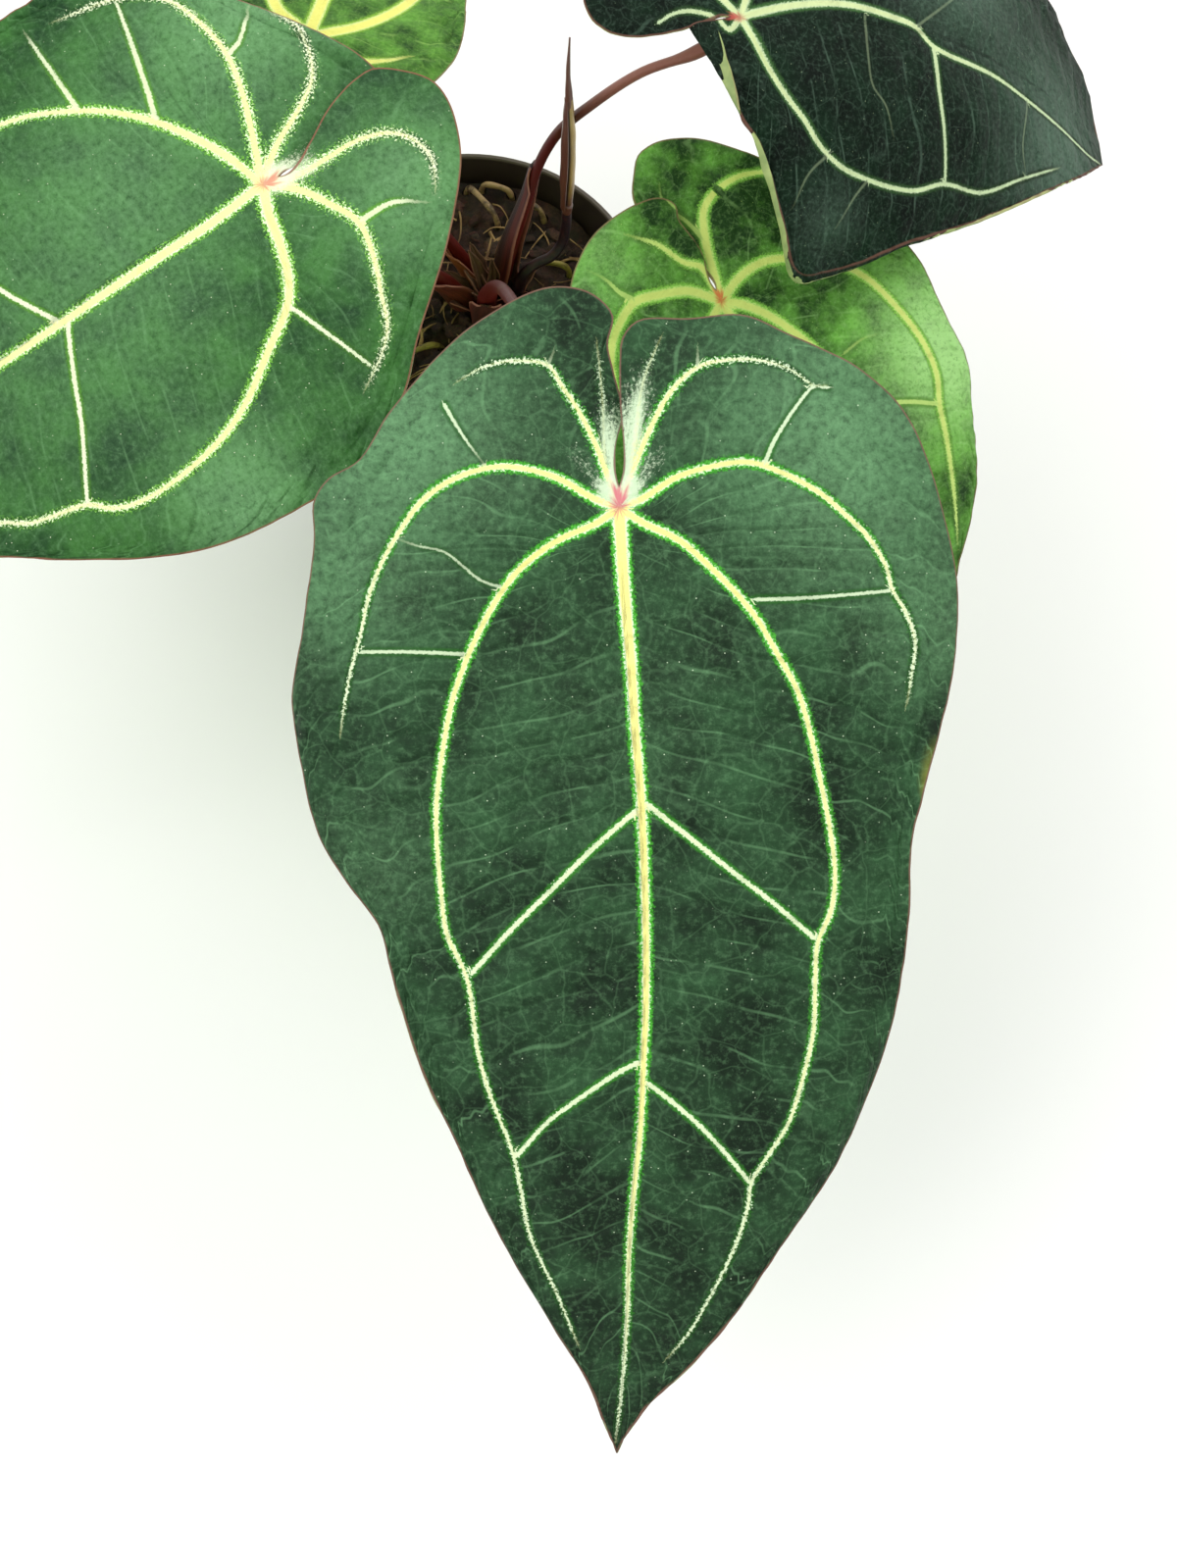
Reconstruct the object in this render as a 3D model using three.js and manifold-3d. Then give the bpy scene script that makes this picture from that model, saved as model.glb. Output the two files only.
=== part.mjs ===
// A velvet-leaved anthurium in a round nursery pot. Millimetres, +Z up, the centre of the pot's base at the origin.
import * as THREE from "three";
import { mergeVertices } from "three/addons/utils/BufferGeometryUtils.js";
import Module from "manifold-3d";

const wasm = await Module();
wasm.setup();

const clearance = 0.3;
const roundSides = 36;

// the pot, all radii on the outside unless the name says inner
const potHeight = 105;
const rimRadius = 60;
const rimDepth = 13;
const bandRadius = 57;
const footRadius = 42;
const wall = 2;
const floorThickness = 2.2;
const drainHoles = 6;

// the potting mix, whose top lies lower on the right and higher at the back
const mixTop = 94;
const mixFall = 3.5;
const mixRise = 4;
const mixRadius = 55;

// the short stem in the middle, from which every stalk rises
const crownX = 10;
const crownY = 9;
const crownRadius = 11;
const crownBottom = 66;
const crownTop = 104;

// the blades: all outlines are drawn at this length from the stalk joint to the tip
const drawnLength = 265;
const drawnHalfWidth = 88;
const bladeThickness = 0.8;
const levelY = 12;
const levelShare = 0.5;
const sinusY = -5.5;
const hubRadius = 3.6;

const colours = {
  pot: 0x2b241b,
  mix: 0x3a2a1a,
  root: 0xa88d45,
  crown: 0x6b3a24,
  stalk: 0x8a5148,
  bud: 0x6a3a2a,
};

function material(colour, roughness) {
  return new THREE.MeshStandardMaterial({ color: colour, roughness, metalness: 0 });
}

function solidOf(geometry) {
  let g = geometry.clone();
  g.deleteAttribute("normal");
  g.deleteAttribute("uv");
  g = mergeVertices(g, 1e-4);
  const index = g.index.array;
  const kept = [];
  for (let i = 0; i < index.length; i += 3) {
    const [a, b, c] = [index[i], index[i + 1], index[i + 2]];
    if (a !== b && b !== c && c !== a) {
      kept.push(a, b, c);
    }
  }
  const mesh = new wasm.Mesh({
    numProp: 3,
    vertProperties: Float32Array.from(g.attributes.position.array),
    triVerts: Uint32Array.from(kept),
  });
  return new wasm.Manifold(mesh);
}

function geometryOf(solid) {
  // edges too short to matter are closed up
  const mesh = solid.simplify(0.01).getMesh();
  const g = new THREE.BufferGeometry();
  g.setAttribute("position", new THREE.BufferAttribute(Float32Array.from(mesh.vertProperties), 3));
  g.setIndex(new THREE.BufferAttribute(Uint32Array.from(mesh.triVerts), 1));
  g.computeVertexNormals();
  return g;
}

function geometryFrom(points, faces) {
  const g = new THREE.BufferGeometry();
  g.setAttribute("position", new THREE.BufferAttribute(Float32Array.from(points.flat()), 3));
  g.setIndex(faces.flat());
  return g;
}

function joined(solids) {
  return solids.reduce((all, one) => all.add(one));
}

// the main body of a solid, without crumbs that a cut has freed
function largest(solid) {
  return solid.decompose().sort((a, b) => b.volume() - a.volume())[0];
}

// numbers in the range 0 to 1 that come out the same at every run
function seeded(seed) {
  let state = seed;
  return () => {
    state = (state * 16807) % 2147483647;
    return state / 2147483647;
  };
}

// a turned body from [radius, height] pairs
function turned(profile) {
  const g = new THREE.LatheGeometry(profile.map(([r, z]) => new THREE.Vector2(r, z)), roundSides);
  g.rotateX(Math.PI / 2);
  return solidOf(g);
}

function cylinder(radius, z0, z1, x, y, sides = 12) {
  const g = new THREE.CylinderGeometry(radius, radius, z1 - z0, sides);
  g.rotateX(Math.PI / 2);
  g.translate(x, y, (z0 + z1) / 2);
  return solidOf(g);
}

// a closed tube along a smooth line through the points, with radiusAt giving its radius for a share of the length
function tube(points, radiusAt, steps, sides = 8) {
  const line = new THREE.CatmullRomCurve3(points.map((p) => new THREE.Vector3(...p)));
  const frames = line.computeFrenetFrames(steps, false);
  const verts = [];
  const faces = [];
  for (let i = 0; i <= steps; i++) {
    const at = line.getPointAt(i / steps);
    const r = radiusAt(i / steps);
    for (let k = 0; k < sides; k++) {
      const a = (2 * Math.PI * k) / sides;
      const p = at.clone();
      p.addScaledVector(frames.normals[i], r * Math.cos(a));
      p.addScaledVector(frames.binormals[i], r * Math.sin(a));
      verts.push(p.toArray());
    }
  }
  const first = verts.push(line.getPointAt(0).toArray()) - 1;
  const last = verts.push(line.getPointAt(1).toArray()) - 1;
  for (let k = 0; k < sides; k++) {
    const n = (k + 1) % sides;
    for (let i = 0; i < steps; i++) {
      const a = i * sides;
      const b = a + sides;
      faces.push([a + k, a + n, b + n], [a + k, b + n, b + k]);
    }
    faces.push([first, n, k], [last, steps * sides + k, steps * sides + n]);
  }
  return solidOf(geometryFrom(verts, faces));
}

// a number read off a short list of [share, value] pairs
function along(pairs, t) {
  for (let i = 1; i < pairs.length; i++) {
    if (t <= pairs[i][0]) {
      const f = (t - pairs[i - 1][0]) / (pairs[i][0] - pairs[i - 1][0]);
      return THREE.MathUtils.lerp(pairs[i - 1][1], pairs[i][1], f * f * (3 - 2 * f));
    }
  }
  return pairs[pairs.length - 1][1];
}

// Half outlines, x across and y towards the tip, from the stalk joint. The margin starts in the bottom of the
// sinus. The other three are the main veins; outer and lobe are drawn up to the level line, and from there keep
// their share of the way from the inner vein to the margin.
const longRight = {
  margin: [[0, -5.5], [1.2, -10], [1.2, -16], [0.3, -27], [0.3, -38], [1, -44], [5, -48.5], [18, -49.5], [32, -50],
    [46, -44.5], [61, -37], [74, -26], [83, -9], [88, 6], [90.5, 20], [89, 42], [82, 70], [77.5, 88], [77, 108],
    [73.5, 139], [66.5, 161], [56, 183], [44, 201], [31, 222], [19.5, 237], [8, 250], [2, 260], [0, 265]],
  inner: [[0, 0], [7, 4], [24, 15.5], [36, 29], [46, 47], [52.5, 70], [57, 97], [53.5, 113], [52, 138], [45.5, 164],
    [36, 181], [31, 202], [19.5, 226], [7, 248], [0, 265]],
  outer: [[0, 0], [7, -3], [23.5, -10.5], [34, -11.5], [52, -4], [65, 7], [69, 12]],
  lobe: [[0, 0], [4, -10.5], [10, -24], [14.5, -31], [20.5, -36], [27, -38], [36, -38], [46, -35], [60, -25],
    [71, -10], [79, 10], [79.5, 12]],
};
const longLeft = {
  margin: [[0, -5.5], [1, -10], [0.8, -16], [-1, -25], [1.5, -36], [3, -43], [1.5, -50], [7, -56], [17, -58],
    [28, -54.5], [41, -46.5], [60, -26], [68, -12.5], [76, -8], [80, -2], [80, 7], [83.5, 30], [87, 50],
    [84.5, 69], [80, 86], [71, 100], [63.5, 110], [59.5, 125], [51.5, 151], [43.5, 169], [35.5, 189], [26, 208.5],
    [16.5, 226], [8, 241.5], [3.5, 255], [0, 265]],
  inner: [[0, 0], [6, 4], [25, 15.5], [36, 32], [43.5, 50.5], [47.5, 80], [46, 105], [40, 124], [36, 150],
    [27.5, 175], [23.5, 197], [16, 216], [9, 236], [3, 253], [0, 265]],
  outer: [[0, 0], [7, -2.5], [27.5, -10.5], [44.5, -6.5], [57, 6], [61, 12]],
  lobe: [[0, 0], [3.5, -10], [6, -16], [10.5, -25.5], [18.5, -37], [27, -38.5], [36, -37], [50, -27], [62, -10],
    [72, 8], [73.5, 12]],
};
// the same half with a rounder back lobe
const roundLeft = {
  ...longLeft,
  margin: [...longLeft.margin.slice(0, 8), [17, -57.5], [28, -56.5], [40, -53], [52, -44], [60, -34], [68, -21],
    [76, -9], ...longLeft.margin.slice(14)],
};
const broad = {
  margin: [[0, -5.5], [0.8, -9], [0, -13], [-3.5, -18.5], [-11, -29.5], [-15.5, -40], [-16, -48], [-10.5, -56],
    [-4, -62], [4, -63.5], [15, -61.5], [26, -57], [47.5, -41], [58, -31], [69, -20], [82, -8], [92, 8], [96.5, 22],
    [97, 42], [94, 68], [86, 89], [73, 112], [60, 132], [50, 155], [40, 176], [29, 199], [18, 223], [8, 244],
    [2, 258], [0, 265]],
  inner: [[0, 0], [8, 2.5], [22, 4], [34, 7.5], [42, 13], [50, 22], [60, 36], [67, 50], [70.5, 68], [70, 82],
    [64, 96], [57, 116], [50, 134], [40, 160], [30, 184], [20, 208], [10, 234], [0, 265]],
  outer: [[0, 0], [8, -9], [17.5, -15.5], [27.5, -20.5], [41, -19.5], [51, -16.5], [61, -13], [68, -7], [76, 4],
    [80, 12]],
  lobe: [[0, 0], [3, -11.5], [3.5, -22], [3, -31.5], [6, -42], [11, -47.5], [20, -50], [34, -44], [52, -29],
    [70, -12], [82, 2], [88, 12]],
};
// the same half with a full shoulder near the tip
const blunt = {
  ...broad,
  margin: [[0, -5.5], [0.8, -9], [0, -13], [-2, -18.5], [-6, -29.5], [-8, -40], [-8.5, -52], [-5.5, -63],
    [2, -69.5], [12, -71], [25, -65], [38, -53], ...broad.margin.slice(12, 19), [96, 80], [93, 120], [87, 160], [80, 200], [70, 226], [55, 246], [36, 257],
    [16, 262], [0, 265]],
};
// the same half, full as far as its middle and then quickly narrower
const full = {
  ...broad,
  margin: [...broad.margin.slice(0, 16), [90.5, 8], [94, 22], [95.5, 42], [97.5, 68], [92.5, 88], [86, 108], [77, 127], [68.5, 140], [58, 152],
    [48, 168], [38, 186], [28, 206], [16, 232], [6, 252], [0, 265]],
};
const folded = {
  margin: [[0, -5.5], [2, -12], [5, -22], [10, -32], [16, -38], [22, -34], [28, -27], [40, -13], [48, -3], [56, 4],
    [66, 9], [81, 14.5], [99, 23], [111, 30], [115, 37], [113, 50], [110, 61], [100, 84], [92, 101], [78, 135],
    [57, 173], [32, 214], [21, 232], [8, 252], [0, 265]],
  inner: [[0, 0], [9, 4], [23, 10], [36, 18.5], [46, 28], [56, 36], [65, 50], [69.5, 68], [70.5, 82], [69, 96],
    [64, 113], [61, 140], [46, 170], [32, 198], [17, 230], [6, 254], [0, 265]],
  outer: [[0, 0], [8, -4], [20, -6], [34, -3], [48, 0], [58, 4], [70, 12]],
  lobe: [[0, 0], [4, -8], [8, -17], [14, -19], [26, -12], [40, -5], [54, 2], [70, 8], [78, 12]],
};
const midrib = [[0, 0], [3, 42], [6, 78], [7.3, 115], [6.5, 150], [4.5, 181], [2.7, 220], [1.5, 242], [0, 265]];

// One entry a leaf. at is the stalk joint, heading the way the tip points, slope and droop the fall of the blade at
// the joint and along its length, roll its lean to the right, keel and cup its section (all in degrees). lobes
// lengthens the left and right back lobe. step lifts the right one and lowers the left one, so that one may lie
// over the other; the lower one keeps to its own side. sway moves the tip to the right.
const leaves = {
  front: {
    at: [48.5, -135.2, 230], heading: -90, slope: 20, droop: 22, roll: 0, keel: [3, 3], cup: [18, 18], lobeRise: 6,
    length: 265,
    right: longRight, left: longLeft, lobes: [1, 1], step: 1.3, wave: 1.6, waves: 3.2, puff: 1.6, colour: 0x27452f,
    stalk: [[7, -1, 97], [8, -5, 118], [13, -20, 150], [22, -55, 188], [35, -98, 212], [45, -124, 221]],
  },
  left: {
    at: [-48.6, -36, 228], heading: 207, slope: 8, droop: 26, roll: 5, keel: [3, 3], cup: [8, 16], lobeRise: 0,
    length: 232,
    right: broad, left: broad, lobes: [0.78, 1], step: 2, wave: 1.2, waves: 2.6, puff: 2,
    colour: 0x2f5b40,
    stalk: [[0, 7, 97], [-6, 5, 112], [-17, -3, 136], [-33, -15.5, 174], [-43, -27.2, 204], [-46.5, -32.6, 218]],
  },
  right: {
    at: [81.7, 2.2, 250], heading: 9.5, slope: 14, droop: 50, roll: -4, keel: [-4, 4], cup: [36, 10], lobeRise: 0,
    length: 160,
    right: blunt, left: folded, lobes: [1, 1], step: -2, wave: 1, waves: 3, puff: 2.4, rolled: true,
    colour: 0x24382f,
    stalk: [[12, 15.2, 97], [15.5, 18.4, 113.5], [20.5, 23, 129.5], [25.5, 27.4, 147], [31, 28.6, 160],
      [42, 22, 184.4], [56, 12, 213], [70, 2.5, 234.4], [78, 1, 244]],
  },
  young: {
    at: [78.7, -50.7, 192], heading: -62, slope: 20, droop: 30, roll: 0, keel: [6, 6], cup: [20, 20], lobeRise: 0,
    length: 172,
    right: full, left: roundLeft, lobes: [0.92, 1.21], step: -1.6, sway: -12, wave: 1, waves: 2.4, puff: 1.8,
    colour: 0x4c8a3d,
    stalk: [[15, 1, 97], [20, -5, 114], [30, -18, 136], [50, -35, 164], [68, -46, 180]],
  },
  back: {
    at: [-42, 34, 200], heading: 74, slope: 12, droop: 26, roll: 0, keel: [5, 5], cup: [20, 20], lobeRise: 0,
    length: 125,
    right: longLeft, left: longRight, lobes: [1.1, 1], step: 1, wave: 0.8, waves: 2.4, puff: 1.2,
    colour: 0x4b7f33,
    stalk: [[4, 16, 97], [-3, 18.6, 110], [-17, 25, 140], [-30, 30, 172], [-37, 33, 189]],
  },
};

// a smooth line through the points, as a dense list
function smooth(points) {
  const flat = points.map(([x, y]) => new THREE.Vector3(x, y, 0));
  return new THREE.CatmullRomCurve3(flat).getPoints(points.length * 10);
}

// points of a half outline at each station: by length up to the level line, from there by equal height to the tip
function stationsOf(points, stations) {
  const line = smooth(points);
  const length = [0];
  for (let i = 1; i < line.length; i++) {
    length.push(length[i - 1] + line[i].distanceTo(line[i - 1]));
  }
  const cross = line.findLastIndex((p) => p.y < levelY);
  const crossAt = (levelY - line[cross].y) / Math.max(line[cross + 1]?.y - line[cross].y, 1e-6) || 0;
  const below = length[cross] + Math.min(crossAt, 1) * ((length[cross + 1] ?? length[cross]) - length[cross]);
  return stations.map((u) => {
    if (u <= levelShare) {
      const want = (below * u) / levelShare;
      const i = Math.max(1, length.findIndex((d) => d >= want - 1e-9));
      return line[i - 1].clone().lerp(line[i], (want - length[i - 1]) / (length[i] - length[i - 1]));
    }
    const y = levelY + ((drawnLength - levelY) * (u - levelShare)) / (1 - levelShare);
    const i = line.findIndex((p, k) => k > cross && p.y >= y - 1e-6);
    if (i < 0) {
      return null;
    }
    return line[i - 1].clone().lerp(line[i], Math.min(1, (y - line[i - 1].y) / (line[i].y - line[i - 1].y)));
  });
}

// the lines of one half at each station, from the midrib to the margin; an under half keeps off the other's side
function halfLines(half, stations, under) {
  const middle = stationsOf(midrib, stations);
  const inner = stationsOf(half.inner, stations);
  const margin = stationsOf(half.margin, stations);
  if (under) {
    margin.forEach((p) => (p.x = p.y < sinusY ? Math.max(p.x, Math.min(1, 0.3 * (sinusY - p.y))) : p.x));
  }
  const share = (vein) => {
    const end = stationsOf(vein, stations);
    const at = (line) => smooth(line).find((p) => p.y >= levelY - 0.01 && p.x > 15).x;
    const s = (at(vein) - at(half.inner)) / (at(half.margin) - at(half.inner));
    return end.map((p, i) => (stations[i] <= levelShare ? p : inner[i].clone().lerp(margin[i], s)));
  };
  return [middle, inner, share(half.outer), share(half.lobe), margin];
}

const radians = Math.PI / 180;

// how far forward and down a line goes that starts at an angle and turns evenly
function arc(angle, turn, d) {
  if (Math.abs(turn) < 1e-9) {
    return [d * Math.cos(angle), d * Math.sin(angle), angle];
  }
  const end = angle + turn * d;
  return [(Math.sin(end) - Math.sin(angle)) / turn, (Math.cos(angle) - Math.cos(end)) / turn, end];
}

// the place in space of a point of the flat blade, h above it
function place(leaf, x, y, h) {
  const head = leaf.heading * radians;
  const bend = y >= 0 ? leaf.droop * radians / leaf.length : leaf.lobeRise * radians / (0.24 * leaf.length);
  const [out, down, angle] = arc(leaf.slope * radians, bend, y);
  const ahead = new THREE.Vector3(Math.cos(head), Math.sin(head), 0);
  const up = new THREE.Vector3(0, 0, 1);
  const across0 = new THREE.Vector3().crossVectors(up, ahead);
  const normal0 = ahead.clone().multiplyScalar(Math.sin(angle)).addScaledVector(up, Math.cos(angle));
  const roll = leaf.roll * radians;
  const across = across0.clone().multiplyScalar(Math.cos(roll)).addScaledVector(normal0, -Math.sin(roll));
  const normal = normal0.clone().multiplyScalar(Math.cos(roll)).addScaledVector(across0, Math.sin(roll));
  const halfWidth = drawnHalfWidth * leaf.length / drawnLength;
  const side = x < 0 ? -1 : 1;
  const half = x < 0 ? 0 : 1;
  const keel = leaf.keel[half] * radians;
  const cup = leaf.cup[half] * radians;
  const [wide, rise, tilt] = x === 0 ? [0, 0, 0] : arc(keel, -cup / halfWidth, Math.abs(x));
  const p = new THREE.Vector3(...leaf.at).addScaledVector(ahead, out).addScaledVector(up, -down);
  p.addScaledVector(across, side * wide).addScaledVector(normal, rise);
  p.addScaledVector(normal, h * Math.cos(tilt)).addScaledVector(across, -side * h * Math.sin(tilt));
  return p;
}

// the columns of one half: which two lines they lie between, how far, and how deep the rib under them is
const columns = [
  { line: 0, share: 0, rib: 1.5 }, { line: 0, share: 0.07, rib: 0 }, { line: 0, share: 0.5, rib: 0 },
  { line: 0, share: 0.93, rib: 0 }, { line: 1, share: 0, rib: 0.9 }, { line: 1, share: 0.14, rib: 0 },
  { line: 1, share: 0.84, rib: 0 }, { line: 2, share: 0, rib: 0.7 },
  { line: 3, share: 0, rib: 0.4 }, { line: 3, share: 0.5, rib: 0 }, { line: 3, share: 1, rib: 0 },
];

function eased(t) {
  const c = Math.min(Math.max(t, 0), 1);
  return c * c * (3 - 2 * c);
}

// one blade as a closed body; grow makes it thicker all through, for cutting a clearance
function blade(leaf, count, grow = 0) {
  const scale = leaf.length / drawnLength;
  const stations = Array.from({ length: count + 1 }, (_, i) => i / count);
  const halves = [[leaf.left, -1], [leaf.right, 1]].map(([half, sign]) =>
    ({ lines: halfLines(half, stations, half === broad && sign * leaf.step < 0 && sign < 0), sign }));
  const n = columns.length - 1;
  const verts = [];
  for (let i = 0; i <= count; i++) {
    const u = stations[i];
    for (let j = 0; j <= 2 * n; j++) {
      const { lines, sign } = j < n ? halves[0] : halves[1];
      const column = columns[Math.abs(j - n)];
      const a = lines[column.line][i];
      const b = lines[Math.min(column.line + 1, 4)][i];
      const q = a.clone().lerp(b, column.share);
      // the midrib is drawn once, wandering to the right, and so is the near part of both halves
      const own = column.line === 0 ? (1 - column.share) : 0;
      let x = q.x * sign;
      if (sign < 0 && own > 0) {
        x = -(b.x * column.share) + a.x * (1 - column.share);
      }
      x += (leaf.sway ?? 0) * Math.pow(Math.max(q.y, 0) / drawnLength, 2);
      let y = q.y < sinusY ? sinusY + (q.y - sinusY) * leaf.lobes[sign < 0 ? 0 : 1] : q.y;
      let h = leaf.puff * Math.sin(Math.PI * column.share) * scale * Math.sin(Math.PI * Math.min(1, u * 1.1));
      const edge = column.line === 3 ? column.share : 0;
      h += leaf.wave * edge * Math.sin(2 * Math.PI * leaf.waves * u + sign) * eased(u * 6) * eased((1 - u) * 6);
      h += sign * leaf.step * eased((sinusY - y) / 16);
      if (leaf.rolled && sign < 0) {
        const over = 0.477 * (-x - 2) - 0.878 * (y + 25) - 0.3 * Math.max(0, -x - 46);
        if (over > 0) {
          const radius = 3;
          const turn = Math.min(over / radius, Math.PI);
          const shift = radius * Math.sin(turn) - Math.max(0, over - radius * Math.PI) - over;
          x += -0.477 * shift;
          y += -0.878 * shift;
          h += radius * (1 - Math.cos(turn)) * scale;
        }
      }
      const rib = column.rib * eased(u * 9) * (1 - u) * (column.line === 3 ? eased((levelShare - u) * 5) : 1);
      const at = (d) => place(leaf, x * scale, y * scale, d).toArray();
      verts.push(at(h + bladeThickness / 2 + grow), at(h - bladeThickness / 2 - rib * Math.sqrt(scale) - grow));
    }
  }
  const faces = [];
  const row = 2 * (2 * n + 1);
  for (let i = 0; i < count; i++) {
    const r = i * row;
    for (let j = 0; j < 2 * n; j++) {
      const [a, b, c, d] = [r + 2 * j, r + row + 2 * j, r + row + 2 * j + 2, r + 2 * j + 2];
      // the quads are split alike on both faces, mirrored about the midrib
      const split = j < n ? [[a, b, d], [b, c, d]] : [[a, b, c], [a, c, d]];
      for (const [p, q, s] of split) {
        faces.push([p, q, s], [p + 1, s + 1, q + 1]);
      }
    }
    const l = [r, r + 1, r + row + 1, r + row];
    const m = l.map((k) => k + 4 * n);
    faces.push([l[0], l[1], l[2]], [l[0], l[2], l[3]], [m[0], m[2], m[1]], [m[0], m[3], m[2]]);
  }
  return solidOf(geometryFrom(verts, faces));
}

// the boss under the joint, hidden from above
function hubSize(leaf) {
  return hubRadius * Math.pow(leaf.length / drawnLength, 0.4);
}

function hub(leaf, grow = 0) {
  const g = new THREE.IcosahedronGeometry(hubSize(leaf) + grow, 1);
  g.translate(...place(leaf, 0, 0, -hubSize(leaf)).toArray());
  return solidOf(g);
}

// a stalk: sheathing foot, slender middle and a thickened knee under the blade
const stalkRadii = [[0, 3.4], [0.1, 3.2], [0.3, 2], [0.85, 1.7], [0.94, 2.4], [1, 2.2]];

function stalk(leaf, grow = 0) {
  const thick = Math.pow(leaf.length / drawnLength, 0.35);
  const [[x, y, z], ...rest] = leaf.stalk;
  const points = [[x, y, z - grow], ...rest, place(leaf, 0, -1, -hubSize(leaf)).toArray()];
  return tube(points, (t) => along(stalkRadii, t) * thick + grow, 18);
}

function potBody() {
  const inner = (z) => THREE.MathUtils.lerp(footRadius - wall, bandRadius - wall, z / (potHeight - rimDepth));
  const body = turned([
    [0, 0], [28, 0], [29, 1.6], [38, 1.6], [39, 0], [footRadius, 0], [footRadius + 0.4, 3],
    [bandRadius - 0.6, potHeight - rimDepth - 1], [rimRadius - 0.8, potHeight - rimDepth], [rimRadius, potHeight - 2],
    [rimRadius - 0.5, potHeight], [rimRadius - 1.9, potHeight], [rimRadius - 2.3, potHeight - 2],
    [bandRadius - wall, potHeight - rimDepth], [inner(floorThickness + 4), floorThickness + 4],
    [inner(0) - 3, floorThickness + 1.6], [39, floorThickness + 1.6], [28, floorThickness + 1.6],
    [27, floorThickness], [0, floorThickness],
  ]);
  const holes = [];
  for (let i = 0; i < drainHoles; i++) {
    const a = (2 * Math.PI * i) / drainHoles;
    holes.push(cylinder(3.4, -1, 6, 33.5 * Math.cos(a), 33.5 * Math.sin(a), 10));
  }
  return body.subtract(joined(holes));
}

function mixHeight(x, y) {
  const ripple = 0.9 * Math.sin(x * 0.21 + 1) * Math.cos(y * 0.17) + 0.6 * Math.sin(x * 0.43 - y * 0.37);
  return mixTop - mixFall * (x / mixRadius) + mixRise * (y / mixRadius) + ripple;
}

// the mix fills the pot up to an uneven top
function mixBody() {
  const inner = (z) => THREE.MathUtils.lerp(footRadius - wall, bandRadius - wall, z / (potHeight - rimDepth));
  const rings = [0, 14, 28, 42];
  const verts = [[0, 0, mixHeight(0, 0)], [0, 0, floorThickness + 2]];
  const faces = [];
  const ring = (radius, height) => {
    const start = verts.length;
    for (let k = 0; k < roundSides; k++) {
      const a = (2 * Math.PI * k) / roundSides;
      const [x, y] = [radius * Math.sin(a), radius * Math.cos(a)];
      verts.push([x, y, height(x, y)]);
    }
    return start;
  };
  const edge = inner(mixTop - mixFall - 3) - clearance;
  const starts = rings.slice(1).map((r) => ring(r, mixHeight));
  starts.push(ring(edge, (x, y) => mixHeight(x, y) - 1));
  starts.push(ring(inner(floorThickness + 5) - clearance - 0.5, () => floorThickness + 5));
  starts.push(ring(inner(0) - 4, () => floorThickness + 2));
  for (let k = 0; k < roundSides; k++) {
    const n = (k + 1) % roundSides;
    faces.push([0, starts[0] + n, starts[0] + k]);
    for (let s = 1; s < starts.length; s++) {
      const [a, b] = [starts[s - 1], starts[s]];
      faces.push([a + k, a + n, b + n], [a + k, b + n, b + k]);
    }
    faces.push([1, starts.at(-1) + k, starts.at(-1) + n]);
  }
  const body = solidOf(geometryFrom(verts, faces));
  const random = seeded(41);
  const chips = [];
  for (let i = 0; i < 26; i++) {
    const a = random() * 2 * Math.PI;
    const r = 15 + 34 * Math.sqrt(random());
    const [x, y] = [r * Math.cos(a), r * Math.sin(a)];
    const g = new THREE.BoxGeometry(3 + 4 * random(), 2 + 3 * random(), 2.6);
    g.rotateX(0.5 * (random() - 0.5));
    g.rotateY(0.5 * (random() - 0.5));
    g.rotateZ(random() * Math.PI);
    g.translate(x, y, mixHeight(x, y) + 0.2);
    chips.push(solidOf(g));
  }
  return body.add(joined(chips));
}

// each root comes out of the mix, lies over it and goes back in: [from x, y, to x, y, rise]
const roots = [
  [4.5, 51, 14.5, 48.6, 3], [21.5, 21.5, 34, 20.5, 3.5], [-0.5, 50.5, 10, 38, 4], [-8, -8, -28, -18, 4],
  [18, 45, 25.5, 40.5, 4],
];

function rootPoints([x0, y0, x1, y1, rise]) {
  const top = Math.max(mixHeight(x0, y0), mixHeight(x1, y1), mixHeight((x0 + x1) / 2, (y0 + y1) / 2));
  const at = (t, z) => [x0 + (x1 - x0) * t, y0 + (y1 - y0) * t, z];
  return [at(0, top - 12), at(0, top - 1), at(0.14, top + rise * 0.8), at(0.5, top + rise),
    at(0.86, top + rise * 0.7), at(1, top - 1), at(1, top - 12)];
}

function rootBody(root, grow = 0) {
  const points = rootPoints(root);
  points[0][2] -= grow;
  points.at(-1)[2] -= grow;
  return tube(points, () => 1.2 + grow, 14, 6);
}

// the short stem with its dry pointed scales
function crownBody() {
  const parts = [];
  const stem = new THREE.LatheGeometry(
    [[0, crownBottom], [crownRadius, crownBottom], [crownRadius, mixTop], [crownRadius - 1, crownTop - 4],
      [crownRadius - 4, crownTop], [0, crownTop + 1]].map(([r, z]) => new THREE.Vector2(r, z)), 20);
  stem.rotateX(Math.PI / 2);
  stem.translate(crownX, crownY, 0);
  parts.push(solidOf(stem));
  const random = seeded(7);
  for (let i = 0; i < 7; i++) {
    const a = ((i + 0.35) / 7) * 2 * Math.PI;
    const tall = 12 + 9 * random();
    const lean = 0.12 + 0.12 * random();
    const foot = [crownX + (crownRadius - 1.5) * Math.cos(a), crownY + (crownRadius - 1.5) * Math.sin(a)];
    const g = new THREE.CylinderGeometry(0.5, 3.6, tall, 6);
    g.scale(1, 1, 0.36);
    g.rotateX(Math.PI / 2);
    g.translate(0, 0, tall / 2);
    g.rotateX(-lean);
    g.rotateZ(a - Math.PI / 2);
    g.translate(foot[0], foot[1], crownTop - 8);
    parts.push(solidOf(g));
  }
  return joined(parts);
}

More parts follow.
